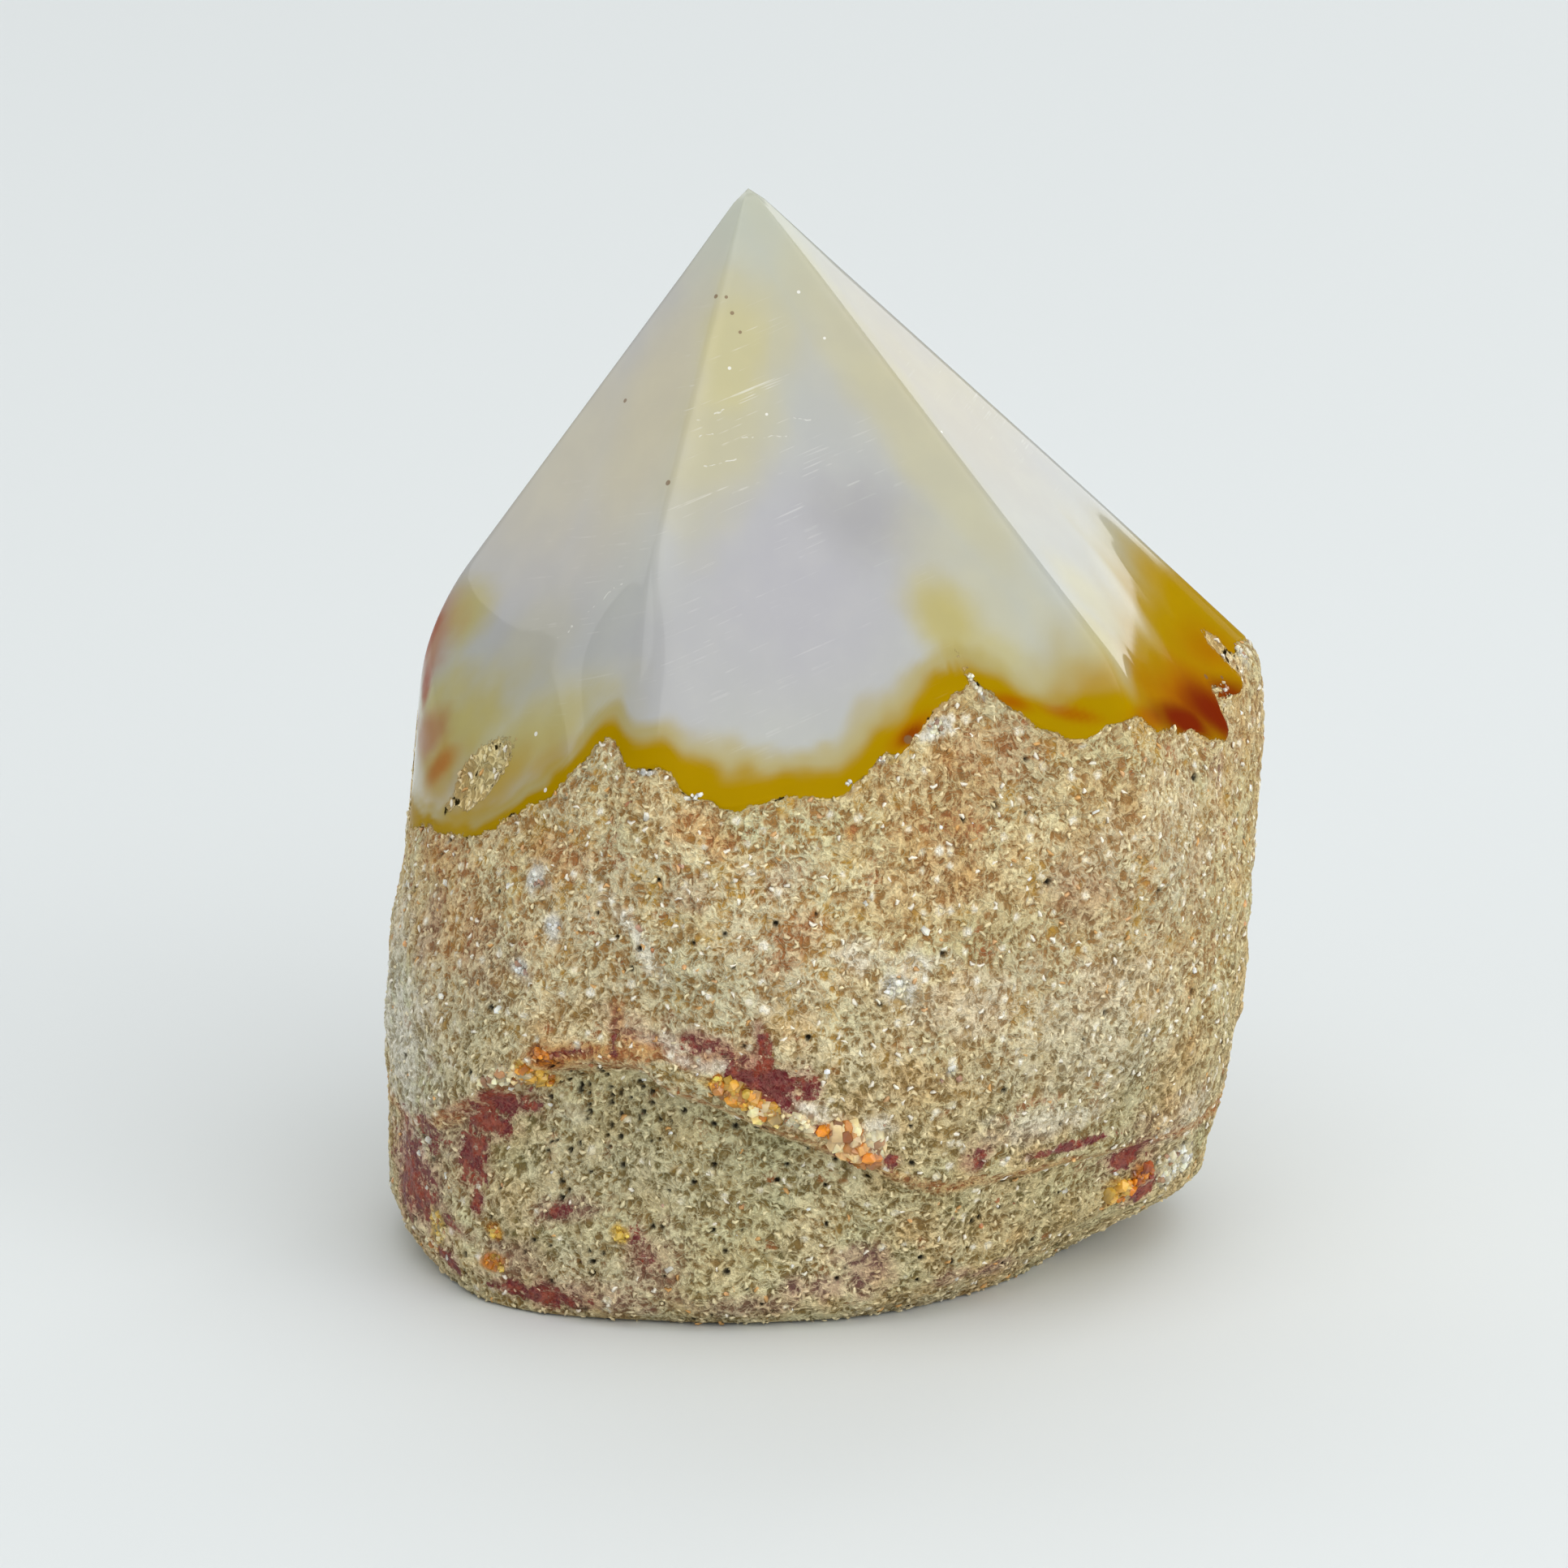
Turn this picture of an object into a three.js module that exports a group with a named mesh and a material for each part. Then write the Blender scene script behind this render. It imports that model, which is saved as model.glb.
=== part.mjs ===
// A part-polished agate point, in millimetres, +Z up.
// The top of the nodule is ground and polished to six facets that meet in a tip. Below a ragged
// line the stone keeps its rough, sugary skin, and its underside is sawn flat to stand on.
//
// The stone is one closed skin of radii about a slightly leaning axis. A bearing is an angle
// round the stone, seen from above: 0 is +X, -90 is the front, 180 is the left.
import * as THREE from 'three';

// Driving dimensions

const peakHeight = 75.9; // where the facet planes would meet
const bluntTip = 0.4; // how far the worn tip stays below that
const tipShift = -5.36; // the tip stands left of the middle of the foot
const edgeSoftness = 0.6; // rounding of the edges between facets
const edgeEase = 6; // that rounding sharpens over this height below the tip
const shoulderSoftness = { middle: 1.7, swing: 1.2 }; // least on the right, most on the left
const shoulderEase = 12; // the shoulder's rounding sharpens over this height below the tip

const shoulderLevel = 45; // height at which the shoulder radii are given
const shoulderClimb = { least: 6, right: 60 }; // height over which it keeps narrowing above that
const bellyHeight = 20; // height at which the belly radii are given
const hipHeight = 4; // height at which the hip radii are given

const columnCount = 96; // round the stone
const rowsBelowLedge = 12;
const rowsLedgeToSkinLine = 18;
const rowsInPolish = 18;

// Each facet: bearing it faces, and how steep it is from level, in degrees
const facets = [
  { bearing: -143.5, steepness: 59.5 },
  { bearing: -83, steepness: 60 },
  { bearing: -20.2, steepness: 47 },
  { bearing: 24, steepness: 44 },
  { bearing: 92, steepness: 55 },
  { bearing: 152, steepness: 57.2 },
];

// Ground shoulder that cuts the facets off below: bearing, radius, narrowing per mm of rise
const shoulder = [
  [-180, 24.7, 0.17], [-165, 23, 0.25], [-150, 21.3, 0.35], [-137, 20.5, 0.42],
  [-122, 20, 0.6], [-110, 21.5, 0.55], [-90, 23.5, 0.5], [-60, 26.4, 0.45],
  [-40, 27.6, 0.42], [-33, 27.3, 0.45], [-24, 26.3, 0.55], [-17, 26.1, 0.62],
  [-10, 26.3, 0.7], [-3, 27.1, 0.79], [3, 28.4, 0.88], [9, 30.1, 0.95],
  [16, 31.4, 0.92], [30, 30.6, 0.8], [45, 29.4, 0.66], [60, 28.6, 0.56],
  [90, 27.6, 0.45], [120, 27, 0.4], [150, 25.5, 0.25],
];

// Rough body: bearing, belly radius, hip radius, foot radius, toe height, roundness of the toe
const roughBody = [
  [-150, 29, 29.6, 27.9, 4, 2.2], [-120, 26, 25.4, 21.5, 3, 2], [-90, 25.2, 22.6, 18.3, 3, 2],
  [-60, 26.4, 21.8, 16.9, 4, 1.6], [-30, 29.3, 24, 16.8, 6, 1.15], [0, 31.2, 27, 18.5, 4.5, 1.3],
  [30, 32.2, 28, 20.5, 4.5, 1.7], [60, 30.4, 27.4, 21.5, 4, 2], [90, 28.4, 26.4, 21.5, 4, 2],
  [120, 28, 27, 22, 4, 2], [150, 29, 29, 24.5, 4, 2], [180, 29.2, 30.8, 26.5, 4.5, 2.2],
];

// Ragged line between polish and skin: bearing, height
const skinLine = [
  [-180, 30.2], [-163, 32], [-151, 32.9], [-144, 34.3], [-139, 35.8], [-132, 37.5],
  [-128, 39.2], [-122, 41.6], [-117, 40.1], [-112, 40.4], [-107, 38.8], [-100, 37.8],
  [-90, 38.3], [-81, 38.2], [-73, 39.9], [-67, 41], [-57, 43.8], [-51, 44.4],
  [-47, 43], [-41.5, 41.2], [-37, 41.9], [-32, 42], [-28, 40.8], [-17, 39.4],
  [-11.5, 37.9], [-9, 38.2], [-6, 39.9], [0, 39.8], [3.2, 41], [7, 42.2],
  [20, 41], [34, 38.5], [48, 39.5], [62, 37], [80, 38.6], [95, 40.5],
  [110, 37.5], [128, 36], [142, 37.4], [160, 33.5],
];

// The same line without its small points, which the broad shape of the body follows
const broadSkinLine = [
  [-180, 30.6], [-150, 33.2], [-120, 40], [-90, 38.4], [-60, 42.6], [-30, 41],
  [0, 40.5], [30, 39.8], [60, 37.6], [90, 39.6], [120, 37], [150, 35],
];

// Broken ledge low on the skin: bearing, height of its lip, depth of the scoop under it
const ledge = [
  [-160, 12, 0], [-152, 13, 0.4], [-146, 14.6, 1], [-137, 17.6, 1.5], [-127, 19.4, 1.8],
  [-117, 19.9, 1.9], [-111, 18.2, 1.9], [-105, 17.6, 1.8], [-95, 15.7, 1.7], [-84, 14, 1.3],
  [-76, 12.2, 0.8], [-69, 11.2, 0.5], [-62, 11.3, 0.9], [-50, 11.6, 1.4], [-34, 11.4, 1.6],
  [-24, 11.1, 0.7], [-14, 10.8, 0], [30, 12, 0], [55, 13.6, 1], [82, 14.6, 1.4],
  [110, 12, 0.6], [130, 10.5, 0],
];
const scoopEase = 1.6; // height over which the ledge turns under
const scoopOverlap = 0.3; // the turn starts this far above the lip
const scoopAtFoot = 0.25; // share of the scoop's depth that is left at the foot
const lipShare = 0.28; // how far the lip stands out, as a share of the scoop's depth
const lipRise = 1.2; // the lip stands out most this far above the ledge
const lipWidth = 1.5;

// Swells and dents of the skin: bearing, height, half width in degrees, half height, rise
const lumps = [
  [-168, 22, 16, 6, 0.45], [-150, 27, 10, 5, -0.35], [-133, 25, 12, 5, 0.5],
  [-112, 30, 11, 5, -0.4], [-96, 24, 10, 4, 0.5], [-78, 31, 12, 5, -0.35],
  [-64, 21, 12, 5, 0.55], [-46, 32, 10, 6, 0.3], [-38, 19, 9, 4, 0.5],
  [-22, 27, 12, 6, -0.4], [-6, 17, 12, 5, 0.2], [14, 30, 14, 6, 0.15],
  [30, 14, 14, 5, -0.6], [48, 27, 14, 6, 0.7], [70, 31, 12, 5, -0.5],
  [84, 22, 14, 5, 0.6], [104, 29, 13, 6, -0.7], [120, 16, 14, 6, 0.7],
  [140, 28, 13, 6, 0.5], [160, 12, 14, 5, -0.4], [-100, 8, 12, 4, -0.4],
  [-124, 6, 10, 4, 0.35], [-58, 5, 10, 3, 0.4],
];
const lumpFade = 6; // the lumps fade out over this height below the skin line
const blendHeight = 1.8; // the skin meets the polish over about this height

const leastFacing = 0.05; // a facet turned further away than this cosine is out of reach
const farAway = 1000; // beyond every surface of the stone
const leastShare = 0.02; // edges keep this share of their rounding at the very tip

// Small helpers

const radians = THREE.MathUtils.degToRad;

function wrapped(bearing) {
  return THREE.MathUtils.euclideanModulo(bearing + 180, 360) - 180;
}

// A smooth curve round the stone through one column of a table, with no overshoot
function curveRound(table, column) {
  const rows = table.map((row) => [wrapped(row[0]), row[column]]).sort((a, b) => a[0] - b[0]);
  const before = rows.slice(-2).map(([bearing, value]) => [bearing - 360, value]);
  const after = rows.slice(0, 2).map(([bearing, value]) => [bearing + 360, value]);
  const points = [...before, ...rows, ...after];
  const rise = (i) => (points[i + 1][1] - points[i][1]) / (points[i + 1][0] - points[i][0]);
  const slopes = points.map((point, i) => {
    if (i === 0 || i === points.length - 1) return 0;
    const product = rise(i - 1) * rise(i);
    return product > 0 ? (2 * product) / (rise(i - 1) + rise(i)) : 0;
  });
  return (bearing) => {
    const turn = wrapped(bearing);
    let i = 0;
    while (i < points.length - 2 && points[i + 1][0] <= turn) i += 1;
    const width = points[i + 1][0] - points[i][0];
    const t = (turn - points[i][0]) / width;
    const end = t * t * (3 - 2 * t);
    const leave = t * (1 - t) * (1 - t) * width * slopes[i];
    const arrive = t * t * (t - 1) * width * slopes[i + 1];
    return (1 - end) * points[i][1] + end * points[i + 1][1] + leave + arrive;
  };
}

// The smaller of two radii, with a fillet where they are within softness of each other
function softMin(a, b, softness) {
  const overlap = Math.max(softness - Math.abs(a - b), 0) / softness;
  return Math.min(a, b) - (overlap * overlap * softness) / 4;
}

const shoulderRadius = curveRound(shoulder, 1);
const shoulderTaper = curveRound(shoulder, 2);
const bellyRadius = curveRound(roughBody, 1);
const hipRadius = curveRound(roughBody, 2);
const footRadius = curveRound(roughBody, 3);
const toeHeight = curveRound(roughBody, 4);
const toeRoundness = curveRound(roughBody, 5);
const skinLineHeight = curveRound(skinLine, 1);
const broadSkinHeight = curveRound(broadSkinLine, 1);
const lipHeight = curveRound(ledge, 1);
const scoopDepth = curveRound(ledge, 2);

// Polished top

const lean = tipShift / peakHeight;

// Distance from the axis to a facet plane, per mm below the peak, along the facet's own bearing
function facetReach({ bearing, steepness }) {
  return lean * Math.cos(radians(bearing)) + 1 / Math.tan(radians(steepness));
}

function facetRadius(bearing, drop) {
  const softness = edgeSoftness * THREE.MathUtils.clamp(drop / edgeEase, leastShare, 1);
  return facets.reduce((radius, facet) => {
    const facing = Math.cos(radians(bearing - facet.bearing));
    if (facing < leastFacing) return radius;
    return softMin(radius, (facetReach(facet) * drop) / facing, softness);
  }, farAway);
}

// Above its level the shoulder narrows less and less, so that it leaves the tip to the facets
function groundShoulderRadius(bearing, height) {
  const rightness = Math.max(Math.cos(radians(bearing)), 0);
  const reach = shoulderClimb.least + shoulderClimb.right * rightness * rightness;
  const above = height - shoulderLevel;
  const climb = above < 0 ? above : reach * (1 - Math.exp(-above / reach));
  return shoulderRadius(bearing) - shoulderTaper(bearing) * climb;
}

// The shoulder is crisp on the right and softly rounded on the left
function polishedRadius(bearing, height) {
  const drop = Math.sqrt(Math.max((peakHeight - height) ** 2 - bluntTip ** 2, 0));
  const { middle, swing } = shoulderSoftness;
  const softness = middle - swing * Math.cos(radians(bearing));
  return softMin(
    facetRadius(bearing, drop),
    groundShoulderRadius(bearing, height),
    softness * THREE.MathUtils.clamp(drop / shoulderEase, leastShare, 1),
  );
}

// Rough skin

function ledgeRelief(bearing, height) {
  const under = lipHeight(bearing) - height;
  const depth = scoopDepth(bearing);
  const turn = THREE.MathUtils.smoothstep(under, -scoopOverlap, scoopEase - scoopOverlap);
  const risen = THREE.MathUtils.smoothstep(height, 0, lipHeight(bearing) - scoopEase);
  const fade = THREE.MathUtils.lerp(scoopAtFoot, 1, risen);
  const lip = lipShare * Math.exp(-(((under + lipRise) / lipWidth) ** 2));
  return depth * (lip - turn * fade);
}

function lumpRelief(bearing, height) {
  const fade = THREE.MathUtils.smoothstep(broadSkinHeight(bearing) - height, 0, lumpFade);
  return lumps.reduce((sum, [at, level, halfWidth, halfHeight, rise]) => {
    const across = wrapped(bearing - at) / halfWidth;
    const along = (height - level) / halfHeight;
    return sum + fade * rise * Math.exp(-across * across - along * along);
  }, 0);
}

// A parabola through hip, belly and skin line, tucked in to the foot over the toe's height
function bodyRadius(bearing, height) {
  const top = broadSkinHeight(bearing);
  const side =
    (hipRadius(bearing) * (height - bellyHeight) * (height - top)) /
      ((hipHeight - bellyHeight) * (hipHeight - top)) +
    (bellyRadius(bearing) * (height - hipHeight) * (height - top)) /
      ((bellyHeight - hipHeight) * (bellyHeight - top)) +
    (polishedRadius(bearing, top) * (height - hipHeight) * (height - bellyHeight)) /
      ((top - hipHeight) * (top - bellyHeight));
  const rough = side + ledgeRelief(bearing, height) + lumpRelief(bearing, height);
  const above = THREE.MathUtils.clamp(height / toeHeight(bearing), 0, 1);
  const round = toeRoundness(bearing);
  const tuck = (1 - (1 - above) ** round) ** (1 / round);
  return THREE.MathUtils.lerp(footRadius(bearing), rough, tuck);
}

// Polish above the skin line, skin below it, and the two flush on the line itself
function stoneRadius(bearing, height) {
  const line = skinLineHeight(bearing);
  if (height >= line) return polishedRadius(bearing, height);
  const gap = polishedRadius(bearing, line) - bodyRadius(bearing, line);
  return bodyRadius(bearing, height) + gap * Math.exp((height - line) / blendHeight);
}

// Surface

// Bearing of the edge where two neighbouring facets meet
function edgeBearing(first, second) {
  const reachA = facetReach(first);
  const reachB = facetReach(second);
  const a = radians(first.bearing);
  const b = radians(second.bearing);
  const across = reachB * Math.cos(a) - reachA * Math.cos(b);
  const along = reachA * Math.sin(b) - reachB * Math.sin(a);
  return THREE.MathUtils.radToDeg(Math.atan2(across, along));
}

// Columns run down every facet edge, with even steps between one edge and the next
function columnBearings() {
  const edges = facets
    .map((facet, i) => edgeBearing(facet, facets[(i + 1) % facets.length]))
    .map(wrapped)
    .sort((a, b) => a - b);
  return edges.flatMap((edge, i) => {
    const next = i + 1 < edges.length ? edges[i + 1] : edges[0] + 360;
    const steps = Math.round(((next - edge) * columnCount) / 360);
    return Array.from({ length: steps }, (unused, k) => edge + ((next - edge) * k) / steps);
  });
}

// Rows follow the ledge and the skin line, so that both stay sharp
function rowHeights(bearing) {
  const lip = lipHeight(bearing);
  const line = skinLineHeight(bearing);
  const tip = peakHeight - bluntTip;
  const spread = (from, to, steps) =>
    Array.from({ length: steps }, (unused, k) => from + ((to - from) * k) / steps);
  return [
    ...spread(0, lip - scoopEase, rowsBelowLedge),
    ...spread(lip - scoopEase, lip + scoopOverlap, 2),
    ...spread(lip + scoopOverlap, line, rowsLedgeToSkinLine),
    ...spread(line, tip, rowsInPolish),
  ];
}

function stoneGeometry() {
  const columns = columnBearings();
  const positions = [];
  columns.forEach((bearing) => {
    rowHeights(bearing).forEach((height) => {
      const radius = stoneRadius(bearing, height);
      const angle = radians(bearing);
      const x = lean * height + radius * Math.cos(angle);
      positions.push(x, radius * Math.sin(angle), height);
    });
  });
  const rowCount = rowHeights(0).length;
  const foot = columns.length * rowCount;
  const tip = foot + 1;
  positions.push(0, 0, 0);
  positions.push(lean * (peakHeight - bluntTip), 0, peakHeight - bluntTip);

  const faces = [];
  columns.forEach((unused, i) => {
    const here = i * rowCount;
    const next = ((i + 1) % columns.length) * rowCount;
    for (let k = 0; k < rowCount - 1; k += 1) {
      faces.push(here + k, next + k, next + k + 1);
      faces.push(here + k, next + k + 1, here + k + 1);
    }
    faces.push(foot, next, here);
    faces.push(here + rowCount - 1, next + rowCount - 1, tip);
  });

  const geometry = new THREE.BufferGeometry();
  geometry.setAttribute('position', new THREE.Float32BufferAttribute(positions, 3));
  geometry.setIndex(faces);
  geometry.computeVertexNormals();
  return geometry;
}

// Stone

const stoneMaterial = new THREE.MeshStandardMaterial({
  color: 0xb7ab93,
  roughness: 0.7,
  metalness: 0,
});

const agate = new THREE.Mesh(stoneGeometry(), stoneMaterial);
agate.name = 'agate';

const part = new THREE.Group();
part.add(agate);

export default part;
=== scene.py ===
import bpy
import numpy as np
from math import cos, pi, radians, sin, tan
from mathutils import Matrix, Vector


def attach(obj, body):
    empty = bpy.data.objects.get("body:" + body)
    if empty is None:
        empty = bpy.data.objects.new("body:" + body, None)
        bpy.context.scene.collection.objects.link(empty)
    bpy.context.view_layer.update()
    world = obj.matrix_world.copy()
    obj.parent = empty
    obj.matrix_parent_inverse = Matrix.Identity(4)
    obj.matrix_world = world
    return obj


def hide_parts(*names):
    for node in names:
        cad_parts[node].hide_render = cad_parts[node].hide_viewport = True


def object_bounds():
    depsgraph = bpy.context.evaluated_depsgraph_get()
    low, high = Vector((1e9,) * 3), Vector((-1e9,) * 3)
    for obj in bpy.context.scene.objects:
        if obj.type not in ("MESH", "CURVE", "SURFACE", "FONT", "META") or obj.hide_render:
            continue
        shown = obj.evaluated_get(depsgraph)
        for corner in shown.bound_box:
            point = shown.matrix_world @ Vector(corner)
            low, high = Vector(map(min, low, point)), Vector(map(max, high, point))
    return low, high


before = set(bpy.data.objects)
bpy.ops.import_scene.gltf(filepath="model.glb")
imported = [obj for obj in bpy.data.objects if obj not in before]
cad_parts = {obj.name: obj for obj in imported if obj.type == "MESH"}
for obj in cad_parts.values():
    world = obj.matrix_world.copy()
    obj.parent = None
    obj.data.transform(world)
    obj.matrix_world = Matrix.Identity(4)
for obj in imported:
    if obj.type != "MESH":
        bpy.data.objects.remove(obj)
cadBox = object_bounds()
mm = 0.001
tipHeight = cadBox[1].z / mm
print("frame loaded, tip at", round(tipHeight, 2), "mm")


# Form of the stone. A bearing is an angle round it, from above: 0 is +X, -90 the front, 180 the left.

stoneForm = {
    "bluntTip": 0.4,             # the facets would meet this far above it
    "tipShift": -5.36,           # the tip stands left of the middle of the foot
    "edgeSoftness": 0.6,         # rounding of the edges between facets
    "edgeEase": 6,               # that rounding sharpens over this height below the tip
    "shoulderSoftness": 1.7,     # rounding where the shoulder cuts the facets, at front and back
    "shoulderSwing": 1.2,        # less by this on the right and more on the left
    "shoulderEase": 12,          # it sharpens over this height below the tip
    "shoulderLevel": 45,         # height at which the shoulder radii are given
    "shoulderClimb": (6, 60),    # height over which it narrows on above that: everywhere, more on the right
    "bellyHeight": 20,           # height at which the belly radii are given
    "hipHeight": 4,              # height at which the hip radii are given
    "scoopEase": 1.6,            # height over which the ledge turns under
    "scoopOverlap": 0.3,         # the turn starts this far above the lip
    "scoopAtFoot": 0.25,         # share of the scoop's depth left at the foot
    "lipShare": 0.28,            # how far the lip stands out, as a share of the scoop's depth
    "lipRise": 1.2,              # the lip stands out most this far above the ledge
    "lipWidth": 1.5,
    "farAway": 1000.0,           # beyond every surface of the stone
    "leastFacing": 0.05,         # a facet turned further away than this cosine is out of reach
    "leastShare": 0.02,          # edges keep this share of their rounding at the very tip
    "lumpFade": 6,               # the lumps fade out over this height below the skin line
    "blendHeight": 1.8,          # the skin meets the polish over about this height
    # each facet: bearing that it faces, steepness from level
    "facets": [(-143.5, 59.5), (-83, 60), (-20.2, 47), (24, 44), (92, 55), (152, 57.2)],
    # ground shoulder that cuts the facets off below: bearing, radius, narrowing per mm of rise
    "shoulder": [
        (-180, 24.7, 0.17), (-165, 23, 0.25), (-150, 21.3, 0.35), (-137, 20.5, 0.42), (-122, 20, 0.6),
        (-110, 21.5, 0.55), (-90, 23.5, 0.5), (-60, 26.4, 0.45), (-40, 27.6, 0.42), (-33, 27.3, 0.45),
        (-24, 26.3, 0.55), (-17, 26.1, 0.62), (-10, 26.3, 0.7), (-3, 27.1, 0.79), (3, 28.4, 0.88),
        (9, 30.1, 0.95), (16, 31.4, 0.92), (30, 30.6, 0.8), (45, 29.4, 0.66), (60, 28.6, 0.56),
        (90, 27.6, 0.45), (120, 27, 0.4), (150, 25.5, 0.25),
    ],
    # rough body: bearing, belly radius, hip radius, foot radius, toe height, roundness of the toe
    "roughBody": [
        (-150, 29, 29.6, 27.9, 4, 2.2), (-120, 26, 25.4, 21.5, 3, 2), (-90, 25.2, 22.6, 18.3, 3, 2),
        (-60, 26.4, 21.8, 16.9, 4, 1.6), (-30, 29.3, 24, 16.8, 6, 1.15), (0, 31.2, 27, 18.5, 4.5, 1.3),
        (30, 32.2, 28, 20.5, 4.5, 1.7), (60, 30.4, 27.4, 21.5, 4, 2), (90, 28.4, 26.4, 21.5, 4, 2),
        (120, 28, 27, 22, 4, 2), (150, 29, 29, 24.5, 4, 2), (180, 29.2, 30.8, 26.5, 4.5, 2.2),
    ],
    # ragged line between polish and skin: bearing, height
    "skinLine": [
        (-180, 30.2), (-163, 32), (-151, 32.9), (-144, 34.3), (-139, 35.8), (-132, 37.5), (-128, 39.2),
        (-122, 41.6), (-117, 40.1), (-112, 40.4), (-107, 38.8), (-100, 37.8), (-90, 38.3), (-81, 38.2),
        (-73, 39.9), (-67, 41), (-57, 43.8), (-51, 44.4), (-47, 43), (-41.5, 41.2), (-37, 41.9), (-32, 42),
        (-28, 40.8), (-17, 39.4), (-11.5, 37.9), (-9, 38.2), (-6, 39.9), (0, 39.8), (3.2, 41), (7, 42.2),
        (20, 41), (34, 38.5), (48, 39.5), (62, 37), (80, 38.6), (95, 40.5), (110, 37.5), (128, 36),
        (142, 37.4), (160, 33.5),
    ],
    # the same line without its small points, which the body follows
    "broadSkinLine": [
        (-180, 30.6), (-150, 33.2), (-120, 40), (-90, 38.4), (-60, 42.6), (-30, 41), (0, 40.5),
        (30, 39.8), (60, 37.6), (90, 39.6), (120, 37), (150, 35),
    ],
    # broken ledge low on the skin: bearing, height of its lip, depth of the scoop under it
    "ledge": [
        (-160, 12, 0), (-152, 13, 0.4), (-146, 14.6, 1), (-137, 17.6, 1.5), (-127, 19.4, 1.8),
        (-117, 19.9, 1.9), (-111, 18.2, 1.9), (-105, 17.6, 1.8), (-95, 15.7, 1.7), (-84, 14, 1.3),
        (-76, 12.2, 0.8), (-69, 11.2, 0.5), (-62, 11.3, 0.9), (-50, 11.6, 1.4), (-34, 11.4, 1.6),
        (-24, 11.1, 0.7), (-14, 10.8, 0), (30, 12, 0), (55, 13.6, 1), (82, 14.6, 1.4), (110, 12, 0.6),
        (130, 10.5, 0),
    ],
    # swells and dents of the skin: bearing, height, half width in degrees, half height, rise
    "lumps": [
        (-168, 22, 16, 6, 0.45), (-150, 27, 10, 5, -0.35), (-133, 25, 12, 5, 0.5), (-112, 30, 11, 5, -0.4),
        (-96, 24, 10, 4, 0.5), (-78, 31, 12, 5, -0.35), (-64, 21, 12, 5, 0.55), (-46, 32, 10, 6, 0.3),
        (-38, 19, 9, 4, 0.5), (-22, 27, 12, 6, -0.4), (-6, 17, 12, 5, 0.2), (14, 30, 14, 6, 0.15),
        (30, 14, 14, 5, -0.6), (48, 27, 14, 6, 0.7), (70, 31, 12, 5, -0.5), (84, 22, 14, 5, 0.6),
        (104, 29, 13, 6, -0.7), (120, 16, 14, 6, 0.7), (140, 28, 13, 6, 0.5), (160, 12, 14, 5, -0.4),
        (-100, 8, 12, 4, -0.4), (-124, 6, 10, 4, 0.35), (-58, 5, 10, 3, 0.4),
    ],
}


# 0 below low, 1 above high, and an S curve between
def smoothStep(low, high, value):
    t = np.clip((value - low) / (high - low), 0, 1)
    return t * t * (3 - 2 * t)


# an angle brought into -180 to 180 degrees
def wrapTurn(bearing):
    return (np.asarray(bearing, float) + 180) % 360 - 180


# curve round the stone through one column of a table: cubic Hermite spans, each point's slope the harmonic
# mean of its neighbours' slopes, so that it never overshoots
def curveRound(table, column=1):
    rows = np.array(sorted((wrapTurn(row[0]), row[column]) for row in table))
    at = np.concatenate([rows[-2:, 0] - 360, rows[:, 0], rows[:2, 0] + 360])
    value = np.concatenate([rows[-2:, 1], rows[:, 1], rows[:2, 1]])
    rise = np.diff(value) / np.diff(at)
    slope = np.zeros(len(at))
    product, total = rise[:-1] * rise[1:], rise[:-1] + rise[1:]
    slope[1:-1] = np.where(product > 0, 2 * product / np.where(product > 0, total, 1), 0)

    def curve(bearing):
        turn = wrapTurn(bearing)
        i = np.clip(np.searchsorted(at, turn, side="right") - 1, 0, len(at) - 2)
        width = at[i + 1] - at[i]
        t = (turn - at[i]) / width
        end = t * t * (3 - 2 * t)
        leave = t * (1 - t) ** 2 * width * slope[i]
        arrive = t * t * (t - 1) * width * slope[i + 1]
        return (1 - end) * value[i] + end * value[i + 1] + leave + arrive

    return curve


# the smaller of two radii, less (overlap^2 * softness / 4) where they are within softness of each other
def softMin(a, b, softness):
    overlap = np.maximum(softness - np.abs(a - b), 0) / softness
    return np.minimum(a, b) - overlap**2 * softness / 4


peakHeight = tipHeight + stoneForm["bluntTip"]
lean = stoneForm["tipShift"] / peakHeight
shoulderRadius, shoulderTaper = curveRound(stoneForm["shoulder"], 1), curveRound(stoneForm["shoulder"], 2)
bellyRadius, hipRadius, footRadius, toeHeight, toeRoundness = (
    curveRound(stoneForm["roughBody"], column) for column in range(1, 6)
)
skinLineHeight, broadSkinHeight = curveRound(stoneForm["skinLine"]), curveRound(stoneForm["broadSkinLine"])
lipHeight, scoopDepth = curveRound(stoneForm["ledge"], 1), curveRound(stoneForm["ledge"], 2)


# facet planes: reach * drop / cos(bearing - facet's bearing), the nearest of them, with rounded edges
def facetRadius(bearing, drop):
    softness = stoneForm["edgeSoftness"] * np.clip(drop / stoneForm["edgeEase"], stoneForm["leastShare"], 1)
    radius = np.full(np.shape(bearing + drop), stoneForm["farAway"])
    leastFacing = stoneForm["leastFacing"]
    for facing, steepness in stoneForm["facets"]:
        reach = lean * cos(radians(facing)) + 1 / tan(radians(steepness))
        turn = np.cos(np.radians(bearing - facing))
        plane = reach * drop / np.maximum(turn, leastFacing)
        radius = np.where(turn > leastFacing, softMin(radius, plane, softness), radius)
    return radius


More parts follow.
